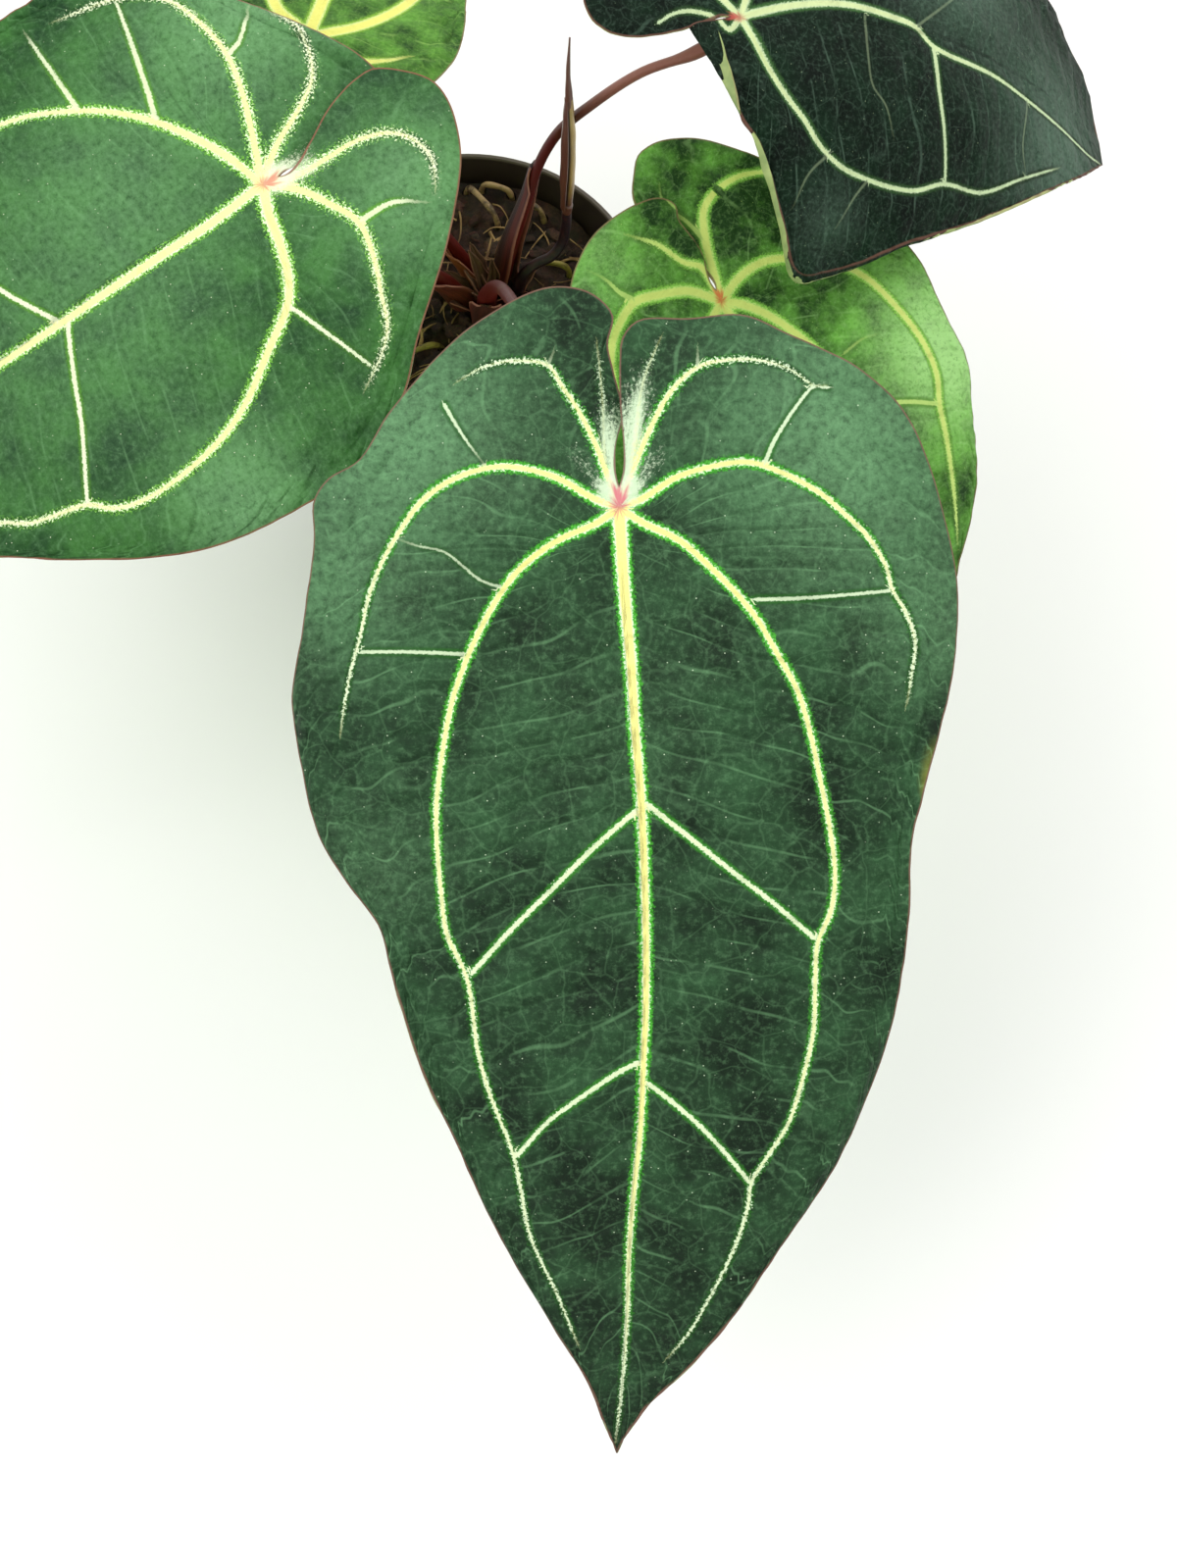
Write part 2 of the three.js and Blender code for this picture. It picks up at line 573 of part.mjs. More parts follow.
// the new leaf, still rolled: a stalk that runs out and turns up, then the rolled blade with its thin tip
const budPoints = [[17, 11.5, 98], [20, 14, 104.5], [24, 16, 106.6], [28.4, 17.4, 108.2], [31.6, 19.8, 111.5],
  [33.2, 21.6, 118.5], [33.6, 22, 127]];
const budStalkRadii = [[0, 2], [0.3, 1.7], [1, 1.6]];
const rollBottom = 127.3;
const rollTop = 186;
const rollTip = 214;

function budStalk(grow = 0) {
  const [[x, y, z], ...rest] = budPoints;
  return tube([[x, y, z - grow], ...rest], (t) => along(budStalkRadii, t) + grow, 16);
}

function rolledBlade() {
  const steps = 8;
  const around = 12;
  const turns = 1.3;
  const thick = 0.7;
  const axis = (z) => [33.6 + 1.2 * Math.sin((z - rollBottom) * 0.03), 22 + (z - rollBottom) * 0.012];
  const swell = [[0, 0.8], [0.35, 1.08], [0.75, 0.95], [1, 0.72]];
  const verts = [];
  const faces = [];
  const per = 2 * (around + 1);
  for (let i = 0; i <= steps; i++) {
    const z = THREE.MathUtils.lerp(rollBottom + 3, rollTop, i / steps);
    const [cx, cy] = axis(z);
    const s = along(swell, i / steps);
    const point = (k, offset) => {
      const a = -2.2 + (2 * Math.PI * turns * k) / around;
      const r = (1.25 + (1.15 * turns * k) / around) * s + offset;
      return [cx + r * Math.cos(a), cy + r * Math.sin(a), z];
    };
    for (let k = 0; k <= around; k++) {
      verts.push(point(k, thick / 2));
    }
    for (let k = around; k >= 0; k--) {
      verts.push(point(k, -thick / 2));
    }
  }
  for (let i = 0; i < steps; i++) {
    for (let k = 0; k < per; k++) {
      const n = (k + 1) % per;
      const [a, b] = [i * per, (i + 1) * per];
      faces.push([a + k, a + n, b + n], [a + k, b + n, b + k]);
    }
  }
  for (let k = 0; k < around; k++) {
    const m = per - 1 - k;
    faces.push([k, m, m - 1], [k, m - 1, k + 1]);
    const t = steps * per;
    faces.push([t + k, t + m - 1, t + m], [t + k, t + k + 1, t + m - 1]);
  }
  const scroll = solidOf(geometryFrom(verts, faces));
  const core = (z) => [...axis(z), z];
  const plug = tube([core(rollBottom), core(rollBottom + 3), core(rollBottom + 7)],
    (t) => along([[0, 1.6], [0.5, 2.3], [1, 1.2]], t), 6);
  const whip = tube([core(rollTop - 5), core(rollTop), core(rollTop + 12), [35.2, 23, rollTip]],
    (t) => along([[0, 1.9], [0.2, 1.7], [0.55, 0.75], [1, 0.35]], t), 8);
  return joined([scroll, plug, whip]);
}

const plant = new THREE.Group();
plant.name = "potted_anthurium";

function add(name, solid, colour, roughness) {
  const mesh = new THREE.Mesh(geometryOf(solid), material(colour, roughness));
  mesh.name = name;
  plant.add(mesh);
}

// how many rows of facets each blade has from its sinus to its tip
const rows = { front: 20, left: 19, right: 16, young: 17, back: 13 };
const bud = budStalk();
const stalks = Object.fromEntries(Object.entries(leaves).map(([name, leaf]) => [name, stalk(leaf)]));
const roomy = clearance + 0.12;
const sockets = joined([...Object.values(leaves).map((leaf) => stalk(leaf, roomy)), budStalk(roomy)]);

add("pot", potBody(), colours.pot, 0.55);
const crownHole = cylinder(crownRadius + clearance, crownBottom - clearance, potHeight, crownX, crownY, 20);
const rootHoles = roots.map((root) => rootBody(root, roomy));
add("potting_mix", largest(mixBody().subtract(joined([crownHole, ...rootHoles]))), colours.mix, 1);
add("crown", largest(crownBody().subtract(sockets)), colours.crown, 0.9);
roots.forEach((root, i) => add(`root_${i + 1}`, rootBody(root), colours.root, 0.8));
for (const [name, leaf] of Object.entries(leaves)) {
  const count = rows[name];
  const clear = hub(leaf, clearance).add(blade(leaf, count, clearance));
  add(`${name}_leaf_blade`, blade(leaf, count).add(hub(leaf)), leaf.colour, 0.8);
  add(`${name}_leaf_stalk`, stalks[name].subtract(clear), colours.stalk, 0.5);
}
add("new_leaf_stalk", bud, colours.bud, 0.5);
add("new_leaf_roll", rolledBlade(), colours.bud, 0.5);

export default plant;
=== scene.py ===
import functools
import math

import bpy
import numpy as np
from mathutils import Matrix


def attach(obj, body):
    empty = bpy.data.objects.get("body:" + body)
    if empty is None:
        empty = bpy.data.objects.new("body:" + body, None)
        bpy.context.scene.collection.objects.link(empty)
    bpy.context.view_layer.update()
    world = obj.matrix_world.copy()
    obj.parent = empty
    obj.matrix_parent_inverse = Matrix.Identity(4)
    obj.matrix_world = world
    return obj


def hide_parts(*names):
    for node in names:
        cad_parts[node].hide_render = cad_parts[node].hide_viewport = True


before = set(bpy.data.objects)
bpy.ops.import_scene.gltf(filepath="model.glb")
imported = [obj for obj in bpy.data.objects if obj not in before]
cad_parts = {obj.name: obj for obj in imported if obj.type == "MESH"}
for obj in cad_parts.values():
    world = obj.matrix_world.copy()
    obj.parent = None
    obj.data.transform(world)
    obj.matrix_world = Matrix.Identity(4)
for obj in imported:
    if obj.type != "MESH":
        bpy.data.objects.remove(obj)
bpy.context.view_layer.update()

mm = 0.001

# what belongs to the whole plant; lengths in millimetres
plant = {"drawnLength": 265, "drawnHalfWidth": 88, "levelY": 12, "sinusY": -5.5, "hubRadius": 3.6,
         "bladeThickness": 0.7, "crossVeins": 1.25, "weld": 0.02}
# settings that many nodes share
smooth = {"interpolation_type": "SMOOTHSTEP"}
rgba = {"data_type": "RGBA"}


def report(text):
    print("anthurium:", text)


def deselectAll():
    if bpy.context.object and bpy.context.mode != "OBJECT":
        bpy.ops.object.mode_set(mode="OBJECT")
    bpy.ops.object.select_all(action="DESELECT")


def selectOnly(piece):
    deselectAll()
    piece.select_set(True)
    bpy.context.view_layer.objects.active = piece


def editMode(action="SELECT", kind=None):
    # starts to edit the mesh with all or nothing of it selected
    bpy.ops.object.mode_set(mode="EDIT")
    if kind:
        bpy.ops.mesh.select_mode(type=kind)
    bpy.ops.mesh.select_all(action=action)


def objectMode():
    bpy.ops.object.mode_set(mode="OBJECT")


def linear(colour):
    # an sRGB hex value as the linear colour that a shader takes
    parts = [int(colour[i:i + 2], 16) / 255 for i in (1, 3, 5)]
    return tuple(c / 12.92 if c <= 0.04045 else ((c + 0.055) / 1.055) ** 2.4 for c in parts) + (1.0,)


def addNode(tree, kind, inputs=(), out=0, **settings):
    # adds a node with its settings and links and gives one of its outputs; inputs go by place or by name,
    # and a text is a hex colour
    node = tree.nodes.new("ShaderNode" + kind)
    for name, value in settings.items():
        setattr(node, name, value)
    for name, value in inputs.items() if isinstance(inputs, dict) else enumerate(inputs):
        if isinstance(value, bpy.types.NodeSocket):
            tree.links.new(value, node.inputs[name])
        else:
            node.inputs[name].default_value = linear(value) if isinstance(value, str) else value
    return node.outputs[out] if len(node.outputs) else None


def newMaterial(name, colour):
    # an empty material and the function that adds its nodes; colour is only what a plain viewport shows
    material = bpy.data.materials.new(name)
    material.use_nodes = True
    material.node_tree.nodes.clear()
    material.diffuse_color = linear(colour)
    return material, functools.partial(addNode, material.node_tree)


def closeMaterial(add, colour, layers, roughness, relief=(), finish=()):
    # what each material ends with: the colours laid over its first one, each by an amount; the relief with
    # its height, strength, depth in metres and what lies under it; the surface
    for amount, layer in layers:
        colour = add("Mix", {0: amount, 6: colour, 7: layer}, 2, **rgba)
    surface = {"Base Color": colour, "Roughness": roughness, **dict(finish)}
    if relief:
        surface["Normal"] = add("Bump", dict(zip(("Height", "Strength", "Distance", "Normal"), relief)))
    add("OutputMaterial", {"Surface": add("BsdfPrincipled", surface)})


def finishPiece(piece, name, nodes, materials=()):
    piece.name = name
    piece.data.name = name
    for material in materials:
        piece.data.materials.append(material)
    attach(piece, "root")
    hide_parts(*nodes)


def meshNumbers(mesh):
    numbers = np.empty(len(mesh.vertices) * 3)
    mesh.vertices.foreach_get("co", numbers)
    return numbers.reshape(-1, 3)


def moveVertices(mesh, places):
    mesh.vertices.foreach_set("co", np.ascontiguousarray(places, dtype=np.float32).ravel())
    mesh.update()


def keepValue(mesh, name, values):
    # a number at each vertex, which materials read by its name
    layer = mesh.attributes.get(name) or mesh.attributes.new(name, "FLOAT", "POINT")
    layer.data.foreach_set("value", np.ascontiguousarray(values, dtype=np.float32))


def keptValue(mesh, name):
    values = np.empty(len(mesh.vertices), dtype=np.float32)
    mesh.attributes[name].data.foreach_get("value", values)
    return values.astype(float)


def applyModifier(piece, kind, settings):
    modifier = piece.modifiers.new(kind.title(), kind)
    for name, value in settings.items():
        setattr(modifier, name, value)
    bpy.context.view_layer.objects.active = piece
    bpy.ops.object.modifier_apply(modifier=modifier.name)


def smoothByAngle(piece, degrees=40):
    selectOnly(piece)
    bpy.ops.object.shade_smooth_by_angle(angle=math.radians(degrees))


def outward(piece):
    selectOnly(piece)
    editMode()
    bpy.ops.mesh.normals_make_consistent(inside=False)
    objectMode()


def joinPieces(pieces):
    deselectAll()
    for piece in pieces:
        piece.select_set(True)
    bpy.context.view_layer.objects.active = pieces[0]
    bpy.ops.object.join()
    return bpy.context.object


def cutAway(piece, cutter):
    applyModifier(piece, "BOOLEAN", {"object": cutter, "operation": "DIFFERENCE", "solver": "EXACT"})
    bpy.data.objects.remove(cutter, do_unlink=True)


def copyOf(first):
    piece = first.copy()
    piece.data = first.data.copy()
    bpy.context.collection.objects.link(piece)
    return piece


def extrudeRings(profile, centre=(0, 0)):
    # draws the selected ring on from one (radius, height) in mm to the next and closes the last one
    for (r0, z0), (r1, z1) in zip(profile[:-1], profile[1:]):
        bpy.ops.mesh.extrude_edges_move(TRANSFORM_OT_translate={"value": (0, 0, (z1 - z0) * mm)})
        bpy.ops.transform.resize(value=(r1 / r0, r1 / r0, 1), center_override=(*centre, z1 * mm))
    bpy.ops.mesh.edge_face_add()


def smoothLine(points, steps=24):
    # a centripetal spline through the points, in two or three dimensions
    p = np.array(points, float)
    p = np.vstack([2 * p[0] - p[1], p, 2 * p[-1] - p[-2]])
    line = []
    for i in range(1, len(p) - 2):
        a, b, c, d = p[i - 1:i + 3]
        t1 = np.linalg.norm(b - a) ** 0.5
        t2 = t1 + np.linalg.norm(c - b) ** 0.5
        t3 = t2 + np.linalg.norm(d - c) ** 0.5
        t = np.linspace(t1, t2, steps, endpoint=False)[:, None]
        a1 = (t1 - t) / t1 * a + t / t1 * b
        a2 = (t2 - t) / (t2 - t1) * b + (t - t1) / (t2 - t1) * c
        a3 = (t3 - t) / (t3 - t2) * c + (t - t2) / (t3 - t2) * d
        b1 = (t2 - t) / t2 * a1 + t / t2 * a2
        b2 = (t3 - t) / (t3 - t1) * a2 + (t - t1) / (t3 - t1) * a3
        line.append((t2 - t) / (t2 - t1) * b1 + (t - t1) / (t2 - t1) * b2)
    line.append(p[-2][None, :])
    return np.vstack(line)


def lengthsAlong(line):
    return np.r_[0, np.cumsum(np.linalg.norm(np.diff(line, axis=0), axis=1))]


def ripples(x, y, seed, wavelength, count=7):
    # gentle unevenness, about -1 to 1, the same at every run
    random = np.random.default_rng(seed)
    total = np.zeros_like(x, dtype=float)
    for i in range(count):
        heading = random.uniform(0, 2 * math.pi)
        length = wavelength * random.uniform(0.7, 1.5)
        phase = random.uniform(0, 2 * math.pi)
        total += np.sin(2 * math.pi * (x * math.cos(heading) + y * math.sin(heading)) / length + phase)
    return total / count ** 0.5


def eased(t):
    c = np.clip(t, 0, 1)
    return c * c * (3 - 2 * c)


# half outlines: x across and y towards the tip, from the stalk joint
longRight = {
    "margin": [(0, -5.5), (1.2, -10), (1.2, -16), (0.3, -27), (0.3, -38), (1, -44), (5, -48.5), (18, -49.5),
               (32, -50), (46, -44.5), (61, -37), (74, -26), (83, -9), (88, 6), (90.5, 20), (89, 42),
               (82, 70), (77.5, 88), (77, 108), (73.5, 139), (66.5, 161), (56, 183), (44, 201), (31, 222),
               (19.5, 237), (8, 250), (2, 260), (0, 265)],
    "inner": [(0, 0), (7, 4), (24, 15.5), (36, 29), (46, 47), (52.5, 70), (57, 97), (53.5, 113), (52, 138),
              (45.5, 164), (36, 181), (31, 202), (19.5, 226), (7, 248), (0, 265)],
    "outer": [(0, 0), (7, -3), (23.5, -10.5), (34, -11.5), (52, -4), (65, 7), (69, 12)],
    "lobe": [(0, 0), (4, -10.5), (10, -24), (14.5, -31), (20.5, -36), (27, -38), (36, -38), (46, -35),
             (60, -25), (71, -10), (79, 10), (79.5, 12)],
}
longLeft = {
    "margin": [(0, -5.5), (1, -10), (0.8, -16), (-1, -25), (1.5, -36), (3, -43), (1.5, -50), (7, -56),
               (17, -58), (28, -54.5), (41, -46.5), (60, -26), (68, -12.5), (76, -8), (80, -2), (80, 7),
               (83.5, 30), (87, 50), (84.5, 69), (80, 86), (71, 100), (63.5, 110), (59.5, 125), (51.5, 151),
               (43.5, 169), (35.5, 189), (26, 208.5), (16.5, 226), (8, 241.5), (3.5, 255), (0, 265)],
    "inner": [(0, 0), (6, 4), (25, 15.5), (36, 32), (43.5, 50.5), (47.5, 80), (46, 105), (40, 124),
              (36, 150), (27.5, 175), (23.5, 197), (16, 216), (9, 236), (3, 253), (0, 265)],
    "outer": [(0, 0), (7, -2.5), (27.5, -10.5), (44.5, -6.5), (57, 6), (61, 12)],
    "lobe": [(0, 0), (3.5, -10), (6, -16), (10.5, -25.5), (18.5, -37), (27, -38.5), (36, -37), (50, -27),
             (62, -10), (72, 8), (73.5, 12)],
}
roundLeft = dict(longLeft, margin=longLeft["margin"][:8] + [
    (17, -57.5), (28, -56.5), (40, -53), (52, -44), (60, -34), (68, -21), (76, -9)] + longLeft["margin"][14:])
broad = {
    "margin": [(0, -5.5), (0.8, -9), (0, -13), (-3.5, -18.5), (-11, -29.5), (-15.5, -40), (-16, -48),
               (-10.5, -56), (-4, -62), (4, -63.5), (15, -61.5), (26, -57), (47.5, -41), (58, -31),
               (69, -20), (82, -8), (92, 8), (96.5, 22), (97, 42), (94, 68), (86, 89), (73, 112), (60, 132),
               (50, 155), (40, 176), (29, 199), (18, 223), (8, 244), (2, 258), (0, 265)],
    "inner": [(0, 0), (8, 2.5), (22, 4), (34, 7.5), (42, 13), (50, 22), (60, 36), (67, 50), (70.5, 68),
              (70, 82), (64, 96), (57, 116), (50, 134), (40, 160), (30, 184), (20, 208), (10, 234),
              (0, 265)],
    "outer": [(0, 0), (8, -9), (17.5, -15.5), (27.5, -20.5), (41, -19.5), (51, -16.5), (61, -13), (68, -7),
              (76, 4), (80, 12)],
    "lobe": [(0, 0), (3, -11.5), (3.5, -22), (3, -31.5), (6, -42), (11, -47.5), (20, -50), (34, -44),
             (52, -29), (70, -12), (82, 2), (88, 12)],
}
blunt = dict(broad, margin=[
    (0, -5.5), (0.8, -9), (0, -13), (-2, -18.5), (-6, -29.5), (-8, -40), (-8.5, -52), (-5.5, -63), (2, -69.5),
    (12, -71), (25, -65), (38, -53)] + broad["margin"][12:19] + [
    (96, 80), (93, 120), (87, 160), (80, 200), (70, 226), (55, 246), (36, 257), (16, 262), (0, 265)])
full = dict(broad, margin=broad["margin"][:16] + [
    (90.5, 8), (94, 22), (95.5, 42), (97.5, 68), (92.5, 88), (86, 108), (77, 127), (68.5, 140), (58, 152),
    (48, 168), (38, 186), (28, 206), (16, 232), (6, 252), (0, 265)])
folded = {
    "margin": [(0, -5.5), (2, -12), (5, -22), (10, -32), (16, -38), (22, -34), (28, -27), (40, -13),
               (48, -3), (56, 4), (66, 9), (81, 14.5), (99, 23), (111, 30), (115, 37), (113, 50), (110, 61),
               (100, 84), (92, 101), (78, 135), (57, 173), (32, 214), (21, 232), (8, 252), (0, 265)],
    "inner": [(0, 0), (9, 4), (23, 10), (36, 18.5), (46, 28), (56, 36), (65, 50), (69.5, 68), (70.5, 82),
              (69, 96), (64, 113), (61, 140), (46, 170), (32, 198), (17, 230), (6, 254), (0, 265)],
    "outer": [(0, 0), (8, -4), (20, -6), (34, -3), (48, 0), (58, 4), (70, 12)],
    "lobe": [(0, 0), (4, -8), (8, -17), (14, -19), (26, -12), (40, -5), (54, 2), (70, 8), (78, 12)],
}
midrib = [(0, 0), (3, 42), (6, 78), (7.3, 115), (6.5, 150), (4.5, 181), (2.7, 220), (1.5, 242), (0, 265)]



def mirrored(points):
    return [(-x, y) for x, y in points]


# the leaves; at is the stalk joint, angles in degrees, rows and bands set how fine the mesh is
# a vein is (half widths from start to end in mm, how pale it is, how feathery, its points on the blade)
# a patch is (its middle on the blade, its radius, how much paler it is, darker below nought): painted sheen
# and painted shade laid with the blade's own tone; aged is (its middle, its two radii)
# a plume is a fan of silvery hairs: (the way it points from the joint away from the tip and its half angle in
# degrees, how far it reaches in mm, how dense it is)
# fold is how the left half is rolled back: from where, which way, how much less, beyond where, and its radius
leaves = {
    "front": {
        "at": (48.5, -135.2, 230), "heading": -90, "slope": 20, "droop": 22, "roll": 0, "keel": (3, 3),
        "cup": (18, 18),
        "lobeRise": 6, "length": 265, "right": longRight, "left": longLeft, "lobes": (1, 1), "step": 1.3,
        "sway": 0,
        "wave": 1.6, "waves": 3.2, "puff": 1.6, "rows": (84, 150), "bands": (20, 14, 7, 13), "seed": 3,
        "stout": 0.59, "mainVeins": 7, "aged": (84, 76, 5, 26),
        "plume": [(10, 15, 50, 0.9), (-8, 13, 38, 0.85), (38, 18, 30, 0.62), (-40, 18, 32, 0.55),
                  (0, 180, 11, 0.75)],
        "patches": [(0, 215, 60, -0.5), (-58, -22, 32, 0.6), (58, -18, 34, 0.6), (-76, 22, 22, 0.35),
                    (84, 30, 20, 0.3), (-66, 96, 22, 0.2), (0, 60, 40, 0.1), (30, 130, 30, -0.2)],
        "stalk": [(7, -1, 97), (8, -5, 118), (13, -20, 150), (22, -55, 188), (35, -98, 212),
                  (45, -124, 221)],
        "veins": [
            ((3.5, 2.5, 2.0, 1.6, 1.2, 0.4), 1, 1, [(0, 0), (1.2, 18.9), (3.2, 41.5), (4.3, 58.6),
             (5.8, 75.8), (7.1, 107.7), (7.2, 131.6), (6.7, 145.9), (5.9, 165.8), (4.5, 180.8),
             (3.1, 200.3), (2.7, 220.3), (1.5, 241.1), (-0.4, 262)]),
            ((2.0, 1.6, 1.4, 1.3, 1.1, 0.8, 0.4), 1, 1, [(0, 0), (6.6, 4.2), (15.7, 8.6), (23.6, 15.4),
             (30.5, 22.3), (36.1, 29.2), (40.7, 37.1), (46.4, 47.2), (50.3, 59.8), (52.6, 70.2), (55.7, 85),
             (57, 96.7), (56, 105.9), (52.6, 114.2), (52.1, 123.7), (51.9, 138.3), (49.5, 150.3),
             (45.7, 163.8), (40, 173.5), (36, 180.5), (34.9, 188.8), (30.9, 201.8), (26.4, 212),
             (19.6, 225.6), (13.4, 234)]),
            ((2.0, 1.6, 1.5, 1.3, 0.9, 0.4), 1, 1, [(0, 0), (6.6, -2.6), (14.4, -7.6), (23.6, -10.5),
             (33.7, -11.8), (43, -8.9), (52.3, -4.1), (59.2, 1.6), (65.2, 7.2), (70.1, 15), (71.7, 20.7),
             (75.4, 26.7), (78, 34.6), (77.2, 42.8), (75.9, 51.6)]),
            ((1.9, 1.5, 1.2, 0.8, 0.4), 1, 1.5, [(0, 0), (3.8, -10.5), (10, -24.1), (14.4, -31.1),
             (20.3, -36.2), (27.1, -38), (36.1, -38.2), (44.2, -36), (50.1, -32), (53.9, -32.1)]),
            ((2.0, 1.6, 1.4, 1.2, 1.0, 0.8, 0.4), 1, 1, [(0, 0), (-5.9, 4.1), (-16, 8.6), (-25.2, 15.4),
             (-30.8, 22.3), (-36.5, 32.5), (-40.5, 41.5), (-43.5, 50.6), (-45.8, 62.2), (-47.6, 76.1),
             (-47.7, 84.8), (-46.7, 99.9), (-45.2, 111.7), (-40, 123.4), (-37.2, 143.8), (-34.4, 154.7),
             (-28.1, 172.1), (-26.4, 180.8), (-23.6, 196.3), (-16.5, 213.6), (-10.6, 229.8)]),
            ((2.0, 1.6, 1.5, 1.2, 0.8, 0.4), 1, 1, [(0, 0), (-7, -2.6), (-16, -7.6), (-27.4, -10.5),
             (-35.4, -10.1), (-44.6, -6.7), (-51.5, -1.7), (-57.3, 6.1), (-62, 14.2), (-65.5, 23.2),
             (-67.8, 33.6), (-70.4, 42.8), (-73.4, 59)]),
            ((1.9, 1.5, 1.2, 0.8, 0.4), 1, 1.5, [(0, 0), (-2.5, -7), (-5.9, -16.2), (-10.5, -25.4),
             (-15, -32), (-18.4, -37.2), (-27.4, -38.5), (-35.4, -36.9), (-42.3, -33.1)]),
            ((1.1, 0.9, 0.6, 0.4, 0.3), 0.6, 2, [(-2.2, -3), (-3.5, -11), (-4.1, -24.9), (-4.9, -34.7),
             (-5.8, -43)]),
            ((1.2, 1.3, 1.3, 1.1, 0.7, 0.4, 0.3), 0.65, 2.2, [(1.8, -3), (3.4, -12), (4.6, -21), (5.4, -28),
             (6.6, -33.4), (8.2, -37.7), (10.9, -44)]),
            ((0.7, 0.6, 0.3), 0.8, 0.25, [(-18.5, -37.1), (-16.8, -41)]),
            ((0.7, 0.5, 0.3), 0.8, 0.25, [(-45.4, -27), (-40.3, -18.5), (-35.2, -11.7)]),
            ((0.7, 0.6, 0.3), 0.8, 0.25, [(20.3, -36.2), (20.3, -41.2)]),
            ((0.8, 0.6, 0.5), 0.85, 0.25, [(37.7, -11.7), (40, -17.3), (46.7, -27.6), (50.4, -31.5),
             (54.1, -31.5)]),
            ((0.95, 0.85, 0.85), 1, 0.5, [(4.9, 78.3), (-6.7, 88.3), (-18.3, 100), (-28.4, 110.3),
             (-38.5, 121.9)]),
            ((0.95, 0.85, 0.85), 1, 0.5, [(7.7, 77.1), (18.3, 85.4), (29.5, 94.4), (41, 103.5),
             (51.4, 112.7)]),
            ((0.9, 0.8, 0.8), 1, 0.5, [(4.9, 146.5), (-1.2, 149.8), (-10.5, 156.3), (-18.5, 162.6),
             (-27.2, 172.9)]),
            ((0.9, 0.8, 0.8), 1, 0.5, [(8.4, 152.5), (14.6, 157.4), (21.5, 163.7), (28.4, 171.5),
             (35.4, 180.7)]),
            ((0.7, 0.6, 0.6), 0.8, 0.25, [(-40.8, 37.8), (-52.9, 37.3), (-67.2, 37.3)]),
            ((0.5, 0.4, 0.4), 0.6, 0.25, [(-30.6, 20.5), (-35.7, 18.8), (-45, 11.5), (-51.7, 9.9),
             (-57.1, 8.1)]),
            ((0.7, 0.6, 0.6), 0.8, 0.25, [(35.4, 23.7), (46.7, 23.4), (60.5, 22.3), (70.9, 21.2)]),
        ],
    },
    "left": {
        "at": (-48.6, -36, 228), "heading": 207, "slope": 8, "droop": 26, "roll": 5, "keel": (3, 3),
        "cup": (8, 16),
        "lobeRise": 0, "length": 232, "right": broad, "left": broad, "lobes": (0.78, 1), "step": 2,
        "sway": 0,
        "wave": 1.2, "waves": 2.6, "puff": 2, "rows": (84, 140), "bands": (20, 12, 7, 14), "seed": 11,
        "stout": 0.7, "mainVeins": 7, "plume": [(14, 26, 32, 0.62), (-12, 24, 28, 0.62), (0, 180, 12, 0.7)],
        "patches": [(-20, 40, 45, 0.4), (40, 60, 40, 0.15), (88, 52, 22, 0.7), (78, 4, 22, 0.1),
                    (26, -42, 28, 0.6), (-58, -20, 32, 0.7), (0, 120, 50, 0.2)],
        "stalk": [(0, 7, 97), (-6, 5, 112), (-17, -3, 136), (-33, -15.5, 174), (-43, -27.2, 204),
                  (-46.5, -32.6, 218)],
        "veins": [
            ((2.6, 2.2, 1.8, 1.5, 1.1, 0.4), 1, 1, [(0, 0), (3.6, 20.5), (4.6, 35.8), (6, 56.8), (7, 75.5),
             (7.6, 100.9), (6.9, 131), (5.6, 166), (4, 200), (2, 235), (0, 262)]),
            ((2.6, 2.1, 1.6, 1.2, 1, 0.7, 0.4, 0.3), 1, 1, [(0, 0), (9.7, 2.6), (22, 4.2), (34.2, 7.5),
             (40.3, 11.4), (49.2, 22.3), (60.4, 36.4), (66.6, 49.1), (70.5, 67.9), (70.4, 81.9),
             (67.6, 90.2), (62.4, 96.4), (59.7, 107.3), (57.3, 115.8), (51.8, 124.5), (42, 154), (30, 184),
             (18, 212)]),
            ((2.1, 1.7, 1.3, 0.9, 0.4), 1, 1.4, [(0, 0), (7.8, -9.4), (17.4, -15.4), (27.6, -20.6),
             (40.8, -19.4), (51.3, -16.3), (60.7, -13.5), (66.4, -9.1), (75, 2)]),
            ((1.9, 1.5, 1.2, 0.8, 0.4), 1, 1.7, [(0, 0), (3.3, -11.6), (3.7, -22.1), (3, -31.5),
             (5.8, -42.2), (11.2, -47.5), (20, -50), (31, -46)]),
            ((2.1, 1.6, 1.25, 1.1, 0.9, 0.6, 0.4), 1, 1, [(0, 0), (-14.2, 6.2), (-34.3, 19.3),
             (-46.6, 31.4), (-53.1, 41.1), (-59.7, 53.5), (-63.4, 66), (-66, 84), (-62, 104), (-52, 130),
             (-40, 160), (-26, 192)]),
            ((1.9, 1.4, 1.15, 0.8, 0.4), 1, 1.4, [(0, 0), (-13, -3.7), (-29.7, -7.9), (-44.8, -9.4),
             (-59.3, -6.8), (-73.8, -0.6), (-82, 12), (-86, 34)]),
            ((1.8, 1.4, 1, 0.6, 0.4), 1, 1.7, [(0, 0), (-10.3, -10.4), (-18.4, -22.3), (-24.7, -29.6),
             (-34.7, -33.1), (-44.1, -33.3), (-54, -28)]),
            ((0.8, 0.7, 0.6), 0.95, 0.25, [(7, 73.5), (10.4, 75), (25.9, 80.3), (40.7, 85.4),
             (62.4, 96.4)]),
            ((0.75, 0.7, 0.55), 0.95, 0.25, [(6.3, 76.6), (-3.9, 82.9), (-13.5, 88.3), (-30, 94), (-48, 99),
             (-63, 101)]),
            ((0.7, 0.6, 0.5), 0.9, 0.25, [(39.5, 11), (47, 7.6), (53.8, 4.5), (68.8, -2.7)]),
